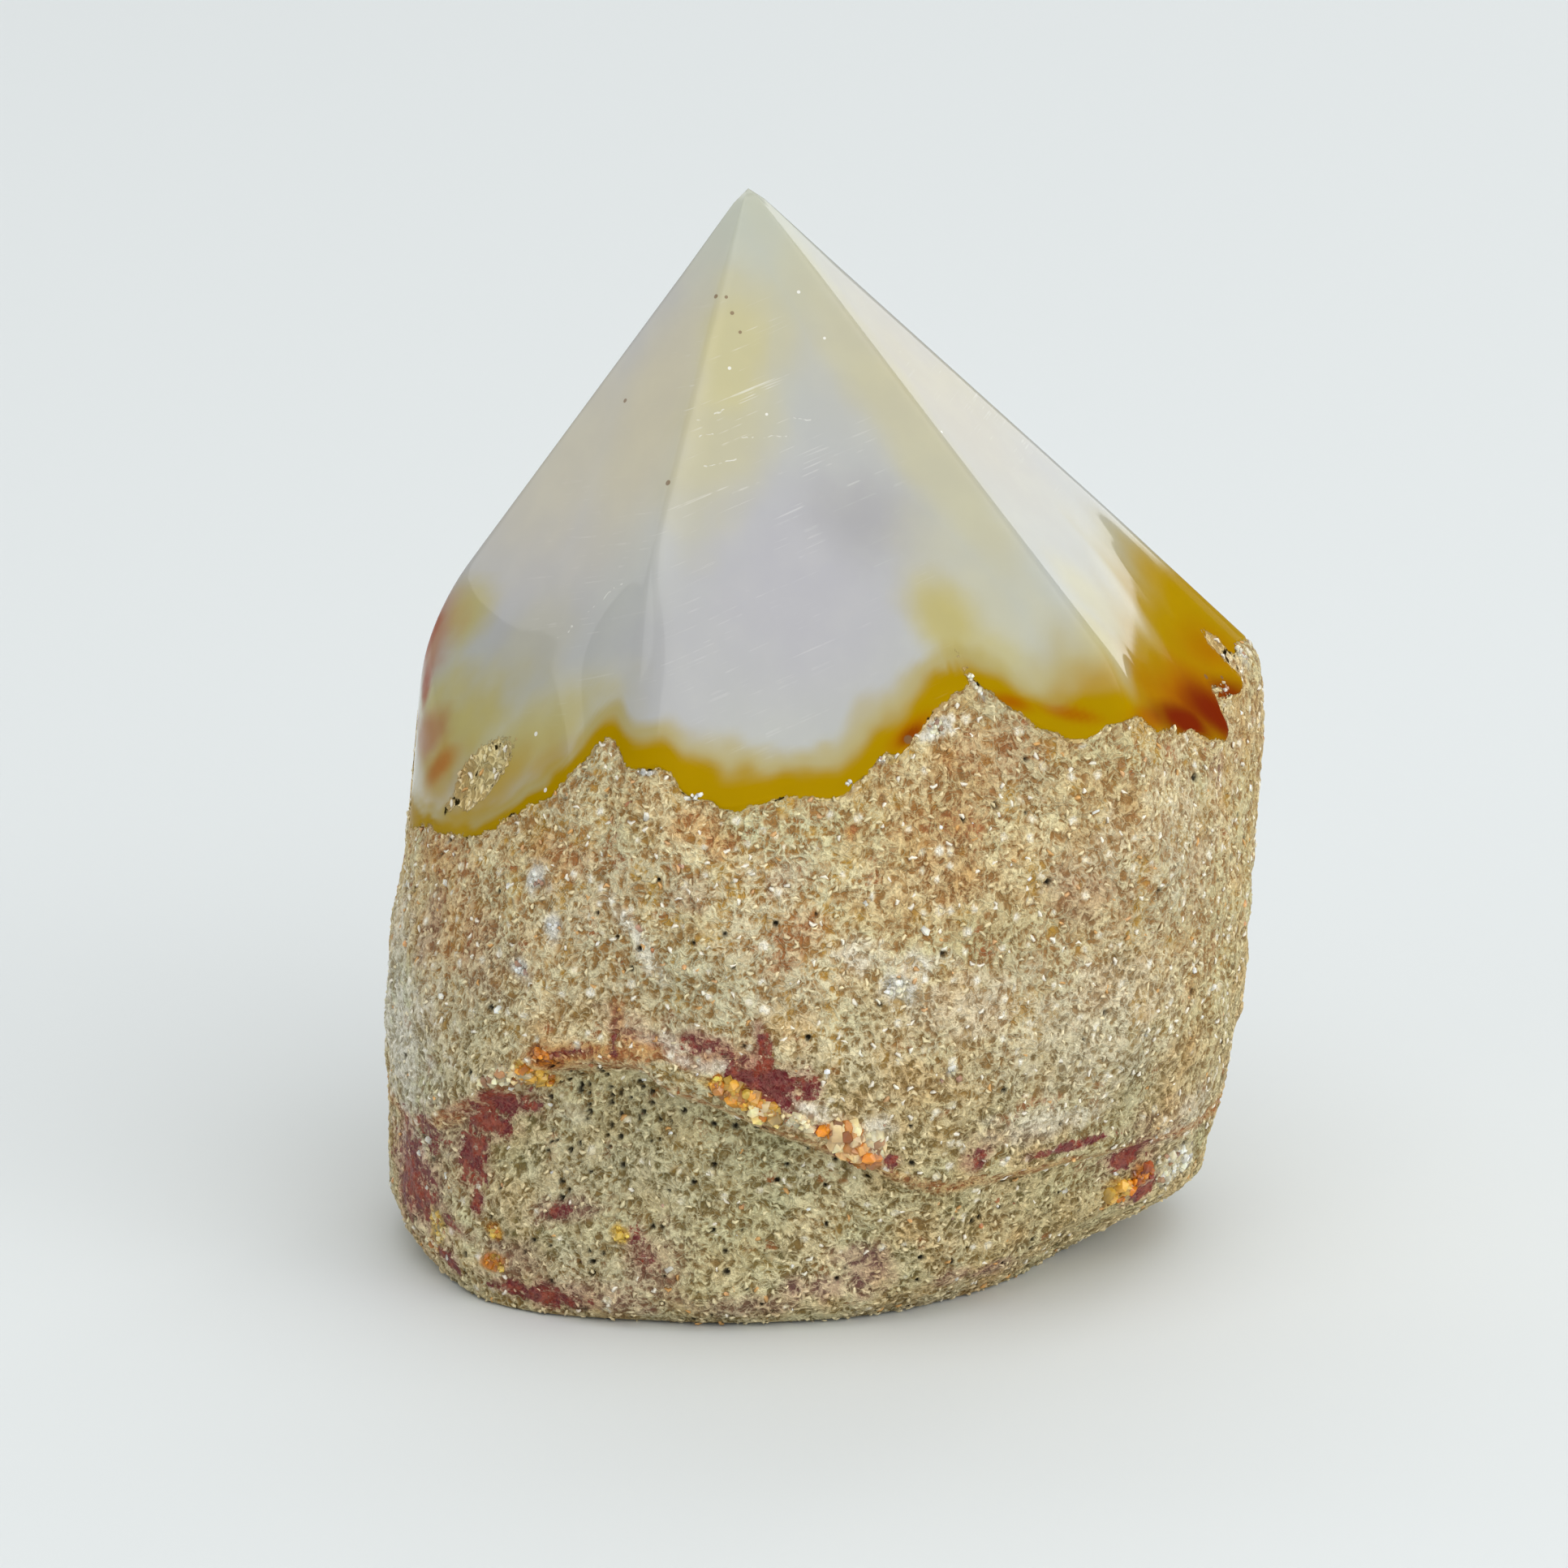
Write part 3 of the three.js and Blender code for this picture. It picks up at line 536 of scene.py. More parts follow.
skinLook = {
    # the hollows between the curls of the crust, and what tints them in patches
    "umber": tint(156, 114, 60), "olive": tint(110, 98, 54), "ochre": tint(184, 142, 58),
    # pit is painted shade: the dark inside of the pits
    "rust": tint(154, 88, 46), "purple": tint(112, 74, 70), "pit": tint(46, 38, 16),
    # the curls themselves
    "cream": tint(242, 227, 182), "tan": tint(228, 194, 138), "green": tint(202, 204, 162),
    "white": tint(248, 242, 226), "grey": tint(206, 198, 170), "pink": tint(204, 152, 132),
    # black darkens the scoop's hollows as painted shade; moss is the green curl darkened there, partly its
    # own olive, partly painted shade
    "mossInShade": tint(202, 204, 162) * [0.88, 0.80, 0.70], "scoopShade": tint(0, 0, 0),
    # bare patches and crystals
    "wine": tint(100, 26, 30), "scarlet": tint(134, 52, 30), "yellow": tint(242, 196, 84),
    "orange": tint(224, 132, 30), "amber": tint(206, 144, 58), "peach": tint(250, 214, 158),
    # noise behind the tints: size and shift
    "clouds": {
        "umber": (3.0, 1.1), "ochre": (1.5, 8.8), "cream": (1.8, 4.9), "green": (4.2, 6.3),
        "broad": (7.0, 31.3), "red": (1.7, 13.1),
    },
    # edges of the patches listed below: raggedness, softness, noise size and shift
    "edges": {
        "greys": (0.4, 0.8, 4), "greens": (0.4, 0.8, 3), "rusts": (0.6, 0.5, 1.2), "purples": (0.6, 0.6, 1.2),
        "whites": (0.9, 0.8, 0.8), "maroons": (0.9, 0.9, 0.9, 3.0),
    },
    "bareEdge": (0.85, 0.55, 0.8, 3.0),       # the maroon patches again, where they are bare
    "highUp": (16, 30),                       # the skin turns from olive to umber over these heights
    "shadedRightSide": (-20, 75, 40),               # the right side, where shade is painted: its bearing, and how far round it reaches
    "ledgeLine": (0.3, 0.4, 1.6, 2.7),        # how far it lies below the lip, and its wander, size and shift
    "flakes": (0.9, 0.12, 0.14, 0.26, 21.4),  # one in how many mm, share, more above the ledge, radius, shift
    # the scoop under the ledge, where shade is painted into the skin's colour
    "scoop": [(-118, 13, 14, 8, 0, 1)],
    "foot": (2.2, 0.2, 0.16),                 # painted contact shade: it gets darker between these heights, by this much
    # layers of the hollows and of the curls, each laid over those before it: mask, strength, tint; the
    # scoop's layers are painted shade under the ledge, over the curls' own olive green
    "hollow": {
        "ground": "olive",
        "body": [
            ("umber", 1, "umber"), ("ochre", 1, "ochre"), ("greens", 0.6, "olive"), ("rusts", 1, "rust"),
        ],
        "rightShade": 0.14,                   # painted shade: the right side is darker by this
        "marks": [
            ("red", 0.8, "rust"), ("purples", 1, "purple"), ("whites", 0.5, "grey"), ("ledge", 0.75, "rust"),
            ("flakes", 0.8, "cream"), ("maroons", 0.95, "wine"), ("scoop", 0.08, "scoopShade"),
        ],
    },
    "curl": {
        "ground": "tan",
        "body": [
            ("cream", 1, "cream"), ("green", 1, "green"), ("greys", 0.8, "grey"), ("greens", 1, "green"),
            ("rusts", 0.75, "amber"), ("greyBroad", 0.45, "grey"), ("tanBroad", 0.35, "tan"),
        ],
        # painted shade: the curls on the right side are darker by this
        "rightShade": (0.12, 0.14, 0.20),
        "marks": [
            ("purples", 0.5, "pink"), ("whites", 0.9, "white"), ("ledge", 0.35, "amber"),
            ("flakes", 0.9, "white"), ("maroons", 0.65, "pink"), ("scoop", 0.3, "mossInShade"),
        ],
    },
    # beds of the crystals: how far they reach past them, and their curls' and hollows' strength and darkness,
    # the darkness painted shade among the crystals
    "beds": {"wider": 1.15, "taller": 1.2, "margin": 0.1, "strength": 0.95, "edge": (0.5, 0.35, 0.8),
             "curl": (1, 0.75), "hollow": (0.9, 0.42)},
    "maroons": [
        (-98.2, 19.7, 1.9, 0.9, 0, 1), (-95.2, 18.9, 2.4, 1.25, -58, 1), (-95.9, 21.6, 0.6, 1.8, 6, 0.8),
        (-89.9, 19.1, 0.7, 1.3, 15, 0.8), (-89.0, 16.1, 0.6, 0.4, 0, 1), (-84.8, 13.5, 1.2, 0.25, -30, 0.9),
        (-77.5, 13.4, 0.5, 0.65, 0, 1), (-139.3, 15.4, 2.3, 0.95, 8, 1), (-142.9, 13.8, 1.6, 1.2, 40, 0.95),
        (-145.4, 11.2, 1.3, 2.3, -8, 0.9), (-145.4, 7.8, 0.5, 0.9, 0, 0.9),
        (-160.5, 7.6, 3.4, 3.2, -25, 0.85), (-154, 11.6, 1.5, 1.6, 0, 0.7),
        (-119.2, 21.6, 0.35, 0.9, 0, 0.7), (-126.6, 20.3, 1.4, 0.3, 12, 0.65),
        (-104.2, 21.8, 1.8, 0.45, -14, 0.6), (-107.2, 21.6, 1.0, 0.4, 0, 0.55),
        (-132.2, 8.2, 1.3, 0.45, 25, 0.75), (-153.6, 2.2, 1.3, 0.75, 0, 1), (-137, 1.7, 3.0, 0.8, 0, 1),
        (-29.7, 9.9, 1.4, 1.2, 0, 1), (-24.4, 6.6, 0.9, 0.9, 0, 1), (-63.6, 13.0, 1.0, 0.9, 60, 0.8),
        (-48, 12.9, 3.2, 0.35, 4, 0.9), (-119.2, 6.2, 0.8, 1.6, 25, 0.6), (-150.5, 5.4, 1.4, 0.6, -10, 0.7),
        (62, 15.2, 3.0, 0.9, 8, 1), (74, 18.6, 1.2, 2.2, 15, 0.9), (95, 16.0, 2.4, 0.6, -10, 1),
        (124, 5.0, 3.2, 1.6, 10, 0.8), (168, 9.5, 1.8, 2.6, 0, 0.8), (10, 5.5, 2.4, 0.9, 5, 0.9),
    ],
    "purples": [
        (-157, 26, 1.6, 2.6, 0, 0.5), (-160, 7.5, 4.0, 4.0, -20, 0.7), (-104.5, 21.7, 3.4, 1.2, -12, 0.85),
        (-116.8, 22.6, 2.2, 0.9, -10, 0.5), (-82.3, 4.8, 2.0, 1.9, 0, 0.9), (-90, 3.4, 2.6, 1.1, 0, 0.9),
        (-54.4, 2.9, 1.8, 0.9, 0, 0.8), (-128, 2.2, 4.0, 1.2, 0, 0.7), (-104, 2.0, 3.4, 0.9, 0, 0.6),
        (-140, 4.0, 2.6, 1.6, 0, 0.6), (-66, 3.3, 1.5, 0.8, 0, 0.6), (-117, 5.0, 2.0, 2.6, 0, 0.6),
        (-131, 8.4, 2.2, 0.9, 20, 0.7), (-106, 32, 1.6, 1.2, 0, 0.35), (-92, 33, 1.4, 1.4, 0, 0.35),
        (-46, 31, 2.4, 1.8, 0, 0.3), (-11, 35.6, 1.8, 1.3, 0, 0.55), (-148, 12, 2.0, 3.6, 0, 0.5),
        (-58, 14.4, 3.0, 0.9, 0, 0.4), (-30, 11.0, 3.4, 2.4, 0, 0.4), (-140, 26, 3, 3, 30, 0.3),
        (70, 17, 6, 3, 0, 0.5), (128, 6, 5, 3, 0, 0.6), (170, 10, 3, 4, 0, 0.5),
    ],
    "rusts": [
        (-128, 20.1, 3.0, 0.8, 15, 1.0), (-122, 20.8, 4.0, 0.7, 4, 1.0), (-113, 21.4, 3.0, 0.8, -12, 1.0),
        (-123.4, 20.4, 2.8, 0.8, 10, 1.0), (-118.8, 23, 0.5, 1.3, 0, 0.8),
        (-104.5, 21.4, 3.0, 1.0, -12, 0.7), (-106, 36.4, 1.6, 1.0, 0, 0.6), (-102, 35.2, 1.4, 0.8, 0, 0.6),
        (-79.4, 36.0, 0.6, 0.6, 0, 1), (-60.6, 36.2, 1.4, 1.0, 0, 0.7), (-89, 29.8, 1.8, 1.0, 20, 0.6),
        (-92, 27.8, 1.6, 0.9, 30, 0.6), (-128, 33.4, 2.6, 1.6, 0, 0.5), (-156, 30.6, 4.0, 1.6, 0, 0.6),
        (-150, 27, 3.0, 3.4, 0, 0.35), (-52, 40.4, 3.4, 1.8, 0, 0.5), (-64, 35, 3.0, 4.0, 0, 0.35),
        (40, 36, 4, 2, 0, 0.6), (90, 34, 5, 2, 0, 0.5), (140, 31, 4, 3, 0, 0.6),
    ],
    "greens": [
        (-157, 13.6, 3.6, 4.0, 0, 0.8), (-166, 18.5, 3.4, 5, 0, 1.0), (-13, 9.0, 2.0, 1.6, 0, 0.7),
        (-112, 11, 9, 6, 0, 0.15), (-110, 27, 6, 3, 0, 0.3), (-151.7, 37.1, 3.0, 1.6, 42, 0.5),
        (-40, 9.5, 6, 2.0, 0, 0.3), (20, 12, 4, 4, 0, 0.5), (150, 20, 5, 5, 0, 0.4),
    ],
    "whites": [
        (-164, 16.5, 5.0, 5.0, 0, 1.0), (-170, 22, 3.0, 4.0, 0, 0.7), (-133, 31.8, 0.8, 0.8, 0, 1),
        (-129.6, 28.8, 0.5, 0.8, 0, 0.9), (-134.4, 25.6, 0.9, 0.6, -30, 0.9),
        (-116.2, 29.2, 0.5, 2.2, 40, 0.8), (-113.5, 27.2, 0.5, 1.4, 40, 0.7), (-80, 27.8, 1.4, 0.9, 0, 0.6),
        (-71.5, 27.2, 1.6, 0.7, 0, 0.8), (-74.5, 25.6, 1.0, 0.9, 0, 0.9), (-64, 24, 3, 2, 0, 0.35),
        (-45, 22, 6, 4, 0, 0.3), (-52, 15.2, 3.6, 1.0, 0, 0.5), (-105, 20.3, 1.6, 0.5, -10, 0.9),
        (-90.2, 17.3, 1.7, 0.6, -12, 0.9), (-80, 16.0, 1.0, 0.7, 0, 0.9), (-112, 21.8, 1.6, 0.5, -15, 0.6),
        (-130, 15, 1.0, 0.6, 0, 0.4), (-27, 33, 5, 4, 0, 0.25), (-20, 12, 2.4, 1.6, 0, 0.4),
        (60, 28, 5, 3, 0, 0.4),
    ],
    "greys": [
        (-150, 21, 8, 5, 0, 0.6), (-112, 26, 8, 3, 0, 0.6), (-80, 22, 5, 3, 20, 0.4),
        (-40, 16, 6, 3, 0, 0.5), (-125, 11, 6, 4, 0, 0.5), (-128, 4.5, 4, 2, 0, 0.6),
        (-36, 28, 8, 6, 0, 0.3), (110, 24, 9, 6, 0, 0.4),
    ],
}


# the masks that tint the crust, by name: noise raised or cut off, patches, the line under the ledge's lip,
# white flakes, and the scoop under the ledge, where shade is painted
def skinMasks(bearing, height, radius, point):
    look, place, lip = skinLook, (bearing, height, radius, point), lipHeight(bearing)
    high = smoothStep(*look["highUp"], height)
    cloud = {name: cloudNoise(point, size, 3, shift) for name, (size, shift) in look["clouds"].items()}
    masks = {name: patchMask(look[name], place, *edge) for name, edge in look["edges"].items()}
    masks["umber"] = 0.30 + 0.7 * high + 0.4 * cloud["umber"]
    masks["ochre"] = (0.25 + 0.75 * high) * smoothStep(0.0, 0.7, cloud["ochre"])
    masks["cream"] = 0.62 + 0.9 * cloud["cream"]
    masks["green"] = 0.20 + 0.5 * cloud["green"]
    masks["greyBroad"] = smoothStep(0.1, 0.7, cloud["broad"])
    masks["tanBroad"] = smoothStep(-0.1, -0.7, cloud["broad"]) * high
    masks["red"] = smoothStep(0.42, 0.8, cloud["red"])
    below, wander, size, shift = look["ledgeLine"]
    off = height - lip + below + wander * latticeNoise(point, size, shift)
    masks["ledge"] = smoothStep(0.8, 0.1, np.abs(off))
    every, share, more, spot, shift = look["flakes"]
    masks["flakes"] = scatteredSpots(point, every, share + more * (height > lip), spot, shift)
    masks["scoop"] = smoothStep(0.2, 1.5, lip - height) * patchMask(look["scoop"], place, 0.3, 0.8, 3)
    return masks


# colours of the crust: its hollows, and its curls
def skinColours(bearing, height, radius, point):
    look, place = skinLook, (bearing, height, radius, point)
    masks = skinMasks(*place)
    middle, outer, inner = look["shadedRightSide"]
    shadedRightSide = smoothStep(outer, inner, np.abs(wrapTurn(bearing - middle)))[..., None]
    colours = {}
    for part in ("hollow", "curl"):
        colour = np.broadcast_to(look[look[part]["ground"]], point.shape)
        colour = overlayMasks(colour, look, look[part]["body"], masks)
        # painted shade darkens the right side of the skin
        colour = colour * (1 - np.array(look[part]["rightShade"]) * shadedRightSide)
        colours[part] = overlayMasks(colour, look, look[part]["marks"], masks)

    beds = look["beds"]
    for left, right in sorted({cluster[-2:] for cluster in crystalForm["clusters"]}):
        ovals = [
            (at, level, across * beds["wider"], up * beds["taller"] + beds["margin"], turn, beds["strength"])
            for at, level, across, up, turn, few, most, *ends in crystalForm["clusters"]
            if ends == [left, right]
        ]
        mask = patchMask(ovals, place, *beds["edge"])
        # the bed takes the crystals' colours, darkened as painted shade among them
        for part, end in (("curl", left), ("hollow", right)):
            strength, darkness = beds[part]
            colours[part] = overlay(colours[part], strength * mask, look[end] * darkness)
    # painted contact shade: the skin darker towards the foot, where it meets the floor
    upper, lower, darker = look["foot"]
    foot = 1 - darker * smoothStep(upper, lower, height)[..., None]
    return colours["hollow"] * foot, colours["curl"] * foot


# where the skin is bare and shows glossy maroon
def bareMask(bearing, height, radius, point):
    return patchMask(skinLook["maroons"], (bearing, height, radius, point), *skinLook["bareEdge"])


# Meshes from arrays

# triangles or quads into a mesh at once, with one UV per corner and any colours or numbers per point
def arrayMesh(name, points, faces, uv, colours=None, numbers=None, smooth=True):
    mesh = bpy.data.meshes.new(name)
    count, corners = faces.shape
    mesh.vertices.add(len(points))
    mesh.vertices.foreach_set("co", (points * mm).astype(np.float32).ravel())
    mesh.loops.add(count * corners)
    mesh.loops.foreach_set("vertex_index", faces.astype(np.int32).ravel())
    mesh.polygons.add(count)
    mesh.polygons.foreach_set("loop_start", np.arange(0, count * corners, corners, dtype=np.int32))
    mesh.polygons.foreach_set("use_smooth", np.full(count, smooth))
    mesh.update(calc_edges=True)
    mesh.uv_layers.new(name="OFBake").uv.foreach_set("vector", uv.astype(np.float32).ravel())
    for key, value in (colours or {}).items():
        layer = mesh.attributes.new(key, "FLOAT_COLOR", "POINT")
        layer.data.foreach_set("color", np.c_[value, np.ones(len(value))].astype(np.float32).ravel())
    for key, value in (numbers or {}).items():
        mesh.attributes.new(key, "FLOAT", "POINT").data.foreach_set("value", value.astype(np.float32))
    mesh.validate()
    piece = bpy.data.objects.new(name, mesh)
    bpy.context.scene.collection.objects.link(piece)
    return piece


# The stone itself

stoneGrid = {
    "columns": 480,
    "footRows": 7,
    # rows from foot to ledge, over the ledge, up to the skin line and up to the tip, and how they crowd
    # towards the lower end
    "rows": [(18, 1.5), (8, 1), (28, 1), (64, 1.4)],
    "curlShare": 0.6,        # of the curls' colour in the skin's
    "skinRim": 0.9,          # mm of skin that show round the sawn face
    "footFar": 10.0,         # how far the middle of the foot and the tip count as lying above the skin
    "tipFar": 30.0,
}


# heights of the rows at each bearing, so that rows follow the ledge and the skin line
def rowHeights(bearing, rows, top):
    lip, line = lipHeight(bearing), skinLineHeight(bearing)
    stops = [0 * lip, lip - stoneForm["scoopEase"], lip + stoneForm["scoopOverlap"], line, top + 0 * lip]
    spans = []
    for low, high, (count, crowding) in zip(stops, stops[1:], rows):
        step = (np.arange(count)[:, None] / count) ** crowding
        spans.append(low + step * (high - low))
    return np.vstack(spans)


# triangles between rows and columns that close round the stone, then fans to a first and a last point,
# with u going round and v going up
def roundGrid(rows, columns):
    row, column = np.meshgrid(np.arange(rows - 1), np.arange(columns), indexing="ij")
    row, column = row.ravel(), column.ravel()
    after = (column + 1) % columns
    a, b = row * columns + column, row * columns + after
    c, d = b + columns, a + columns
    low, high = (row + 1) / (rows + 1), (row + 2) / (rows + 1)
    left, right = column / columns, (column + 1) / columns
    faces = np.concatenate([np.c_[a, b, c], np.c_[a, c, d]])
    uv = np.concatenate([
        np.stack([left, low, right, low, right, high], -1),
        np.stack([left, low, right, high, left, high], -1),
    ])
    k = np.arange(columns)
    none, after = 0 * k, (k + 1) % columns
    first, last, top = rows * columns, rows * columns + 1, (rows - 1) * columns
    left, middle, right = k / columns, (k + 0.5) / columns, (k + 1) / columns
    edge, end = none + 1 / (rows + 1), none + rows / (rows + 1)
    faces = np.concatenate([faces, np.c_[none + first, after, k], np.c_[top + k, top + after, none + last]])
    lowFan = np.stack([middle, none, right, edge, left, edge], -1)
    highFan = np.stack([left, end, right, end, middle, none + 1], -1)
    return faces, np.concatenate([uv, lowFan, highFan]).reshape(-1, 3, 2)


def makeStone():
    form, columns, footRows = stoneGrid, stoneGrid["columns"], stoneGrid["footRows"]
    bearing = np.linspace(-180, 180, columns, endpoint=False)[None, :]
    heights = rowHeights(bearing, form["rows"], tipHeight)
    bearings = np.broadcast_to(bearing, heights.shape)
    points, radius, above = surface(bearings, heights)
    covered = heights < skinLineHeight(bearing) + crustForm["overlap"]
    covered = covered * smoothStep(*crustForm["coverFade"], above)
    radius = radius - crustForm["cover"] * covered
    points = stonePoint(bearings, heights, radius)
    sawnShare = (np.arange(1, footRows) / footRows)[:, None]
    foot = points[:1] * sawnShare[..., None]
    sawnIn = radius[:1] * (1 - sawnShare)      # distance in from the rim
    tip = stonePoint(0.0, tipHeight, 0.0)
    grid = np.concatenate([foot, points])
    flat = np.concatenate([grid.reshape(-1, 3), [[0, 0, 0], tip]])
    place = (bearings, heights, radius, points)
    polish = polishColour(*place)
    hollow, curl = skinColours(*place)
    skin = overlay(hollow, np.full(above.shape, form["curlShare"]), curl)
    bare = bareMask(*place)
    sawn = sawnColour(foot, sawnIn)
    rim = np.broadcast_to(skin[:1], foot.shape)
    brushed = patchMask(polishLook["brushed"], place, *polishLook["brushedEdge"])
    none = 0 * sawnIn

    # values of the foot, the surface, the middle of the foot and the tip, in the mesh's order
    def closed(footValues, values, centre, end):
        joined = np.concatenate([footValues, values])
        return np.concatenate([joined.reshape((-1,) + joined.shape[2:]), [centre, end]])

    faces, uv = roundGrid(len(grid), columns)
    return arrayMesh(
        "agate_stone", flat, faces, uv,
        colours={
            "polishTint": closed(sawn, polish, sawn[0, 0], polish[-1, 0]),
            "skinTint": closed(rim, skin, skin[0, 0], skin[-1, 0]),
        },
        numbers={
            "aboveSkin": closed(sawnIn - form["skinRim"], above, form["footFar"], form["tipFar"]),
            "bare": closed(none, bare, 0.0, 0.0),
            "brushed": closed(none, brushed, 0.0, 0.0),
            "shine": closed(none, polishShine(bearings, heights, polish), 0.0, 1.0),
            "sawn": closed(none + 1, 0 * heights, 1.0, 0.0),
        },
    )


sawnLook = {
    "wander": (1.2, 7, 6.6),      # how far the bands wander in mm, noise size and shift
    "bands": 2.6,                 # radians of a band's wave per mm
    "bandShare": 0.45, "bandDarkness": 0.8,
    "stain": (5.0, 2.6), "rust": (2.4, 1.2),      # mm in from the rim over which they fade in
}


# the sawn foot shows the inside of the stone: stain near the rim, then bands that follow the rim
def sawnColour(foot, depth):
    look = polishLook
    wander, size, shift = sawnLook["wander"]
    inward = depth + wander * cloudNoise(foot, size, 3, shift)
    band = 0.5 + 0.5 * np.sin(inward * sawnLook["bands"])
    colour = np.broadcast_to(look["milk"], foot.shape)
    colour = overlay(colour, sawnLook["bandShare"] * band, look["lavender"] * sawnLook["bandDarkness"])
    colour = overlay(colour, smoothStep(*sawnLook["stain"], inward), look["mustard"])
    return overlay(colour, smoothStep(*sawnLook["rust"], inward), look["rust"])


# Crust of the skin: four pieces, each a quarter of the way round

crustForm = {
    "quarters": {"front_crust": -90, "right_crust": 0, "back_crust": 90, "left_crust": 180},
    "columns": 300,
    "rows": [(104, 1.2), (24, 1), (150, 1), (10, 1)],
    "overlap": 0.9,             # mm that the grid goes on above the skin line, hidden under the polish
    "cover": 0.30,              # how far the stone itself lies under the crust
    "coverFade": (0.1, -0.4),   # it sinks there between these distances from the skin's edge
    "hem": 0.35,                # how far the crust's edge dips
    "hemFade": (-0.35, 0.12),   # between these distances from the skin's edge
    "footFade": 0.4,            # the relief sets in over this height
    "lowest": 0.02,             # mm that the crust and grains keep above the floor
    "warp": (0.7, 0.34),        # size of the swirls that bend the curls, and how far they bend them
    "curls": [(0.70, 1.0), (0.48, 0.8)],      # size of the curls and their share of the height
    "curlWidth": (0.36, 0.02),                # of the noise's value, from a curl's side to its ridge
    "rise": 0.15,
    "bareFlatness": 0.7,                      # how much lower the curls are where the skin is bare
    "bumps": [(0.36, 0.05), (0.24, 0.03)],    # size and height of small bumps
    "pits": (0.70, 0.03, 0.19, 0.28),         # one in how many mm, the share there, radius and depth
    "pitShadow": 0.5,                         # how much darker they are
    "pitsUnderLedge": (2.5, 1.5),             # how many more there are under the ledge, and from what depth
    "pitPatches": [(-123.5, 16.0, 4.6, 3.0, 0, 1), (-131, 11.5, 3.0, 2.0, 0, 0.6)],    # where they crowd
    "crowding": 0.80,
    "meanRadius": 29.0,                       # of the stone, for the size of those patches
    "shifts": {"warp": (1.7, 5.3, 9.1), "curls": 4.7, "pits": 15.5, "bumps": 11.9},
}


# height of the crust over the skin, how far a point is up on a curl (0 to 1) and how deep in a pit (0 to 1).
# Curls lie where swirled noise passes through 0: curl = 1 - smoothStep(0, width, |noise|)
def crustRelief(bearing, height, point, bare):
    form, shifts = crustForm, crustForm["shifts"]
    swirlSize, reach = form["warp"]
    swirl = np.stack([latticeNoise(point, swirlSize, shift) for shift in shifts["warp"]], -1)
    swirled = point + reach * swirl
    curl = np.zeros(point.shape[:-1])
    for size, share in form["curls"]:
        line = np.abs(latticeNoise(swirled, size, shifts["curls"] * size))
        curl = np.maximum(curl, share * smoothStep(*form["curlWidth"], line))
    every, share, radius, depth = form["pits"]
    more, deep = form["pitsUnderLedge"]
    share = share * (1 + more * smoothStep(0.0, deep, lipHeight(bearing) - height))
    place = (bearing, height, np.full(np.shape(height), form["meanRadius"]), point)
    share = share + form["crowding"] * patchMask(form["pitPatches"], place)
    pit = scatteredSpots(point, every, share, radius, shifts["pits"]) * (1 - bare)
    rise = form["rise"] * (1 - form["bareFlatness"] * bare) * curl - depth * pit
    for size, high in form["bumps"]:
        rise = rise + high * latticeNoise(point, size, shifts["bumps"])
    return rise, curl, pit


# rows of the grid from two edge points; u and v go across and up it
def sheetGrid(rows, columns):
    row, column = np.meshgrid(np.arange(rows - 1), np.arange(columns - 1), indexing="ij")
    row, column = row.ravel(), column.ravel()
    a = row * columns + column
    corners = np.stack([a, a + 1, a + columns + 1, a + columns], -1)
    faces = corners[:, [0, 1, 2, 0, 2, 3]].reshape(-1, 3)
    u, v = np.meshgrid(np.arange(columns) / (columns - 1), np.arange(rows) / (rows - 1))
    return faces, np.stack([u.ravel(), v.ravel()], -1)[faces]


# normals of a grid of points, from its slopes along rows and up columns
def gridNormals(points):
    east, north = np.gradient(points, axis=1), np.gradient(points, axis=0)
    normal = np.cross(east, north)
    return normal / np.maximum(np.linalg.norm(normal, axis=-1, keepdims=True), 1e-9)


# a quarter of the crust, round a middle bearing. One column more at each side gives the seams' normals
def makeCrust(name, middle):
    form = crustForm
    step = 90 / (form["columns"] - 1)
    bearing = middle + np.linspace(-45 - step, 45 + step, form["columns"] + 2)[None, :]
    heights = rowHeights(bearing, form["rows"], skinLineHeight(bearing) + form["overlap"])
    heights = np.vstack([heights[:1], heights])     # the first row is the hem at the foot
    bearings = np.broadcast_to(bearing, heights.shape)
    points, radius, above = surface(bearings, heights)
    place = (bearings, heights, radius, points)
    bare = bareMask(*place)
    rise, curl, pit = crustRelief(bearings, heights, points, bare)
    edge = smoothStep(*form["hemFade"], above)
    radius = radius + rise * (1 - edge) * smoothStep(0, form["footFade"], heights) - form["hem"] * edge
    radius[0] -= form["hem"]
    hollow, tip = skinColours(*place)
    points = stonePoint(bearings, np.maximum(heights, form["lowest"]), radius)
    inner = (slice(None), slice(1, -1))
    normals = gridNormals(points)[inner]
    points = points[inner]
    # painted shade in the pits: their dark tint, and darker again by the pit shadow
    shadow = 1 - form["pitShadow"] * pit[inner][..., None]
    hollow = overlay(hollow[inner], pit[inner], skinLook["pit"]) * shadow
    tip = overlay(tip[inner], pit[inner], skinLook["pit"]) * shadow
    rows, columns = points.shape[:2]
    faces, uv = sheetGrid(rows, columns)
    piece = arrayMesh(
        name, points.reshape(-1, 3), faces, uv,
        colours={"hollowTint": hollow.reshape(-1, 3), "curlTint": tip.reshape(-1, 3)},
        numbers={"curl": curl[inner].ravel(), "bare": bare[inner].ravel()},
    )
    piece.data.normals_split_custom_set_from_vertices(normals.reshape(-1, 3))
    print("  ", name, len(faces), "triangles")
    return piece


# Grains of the skin

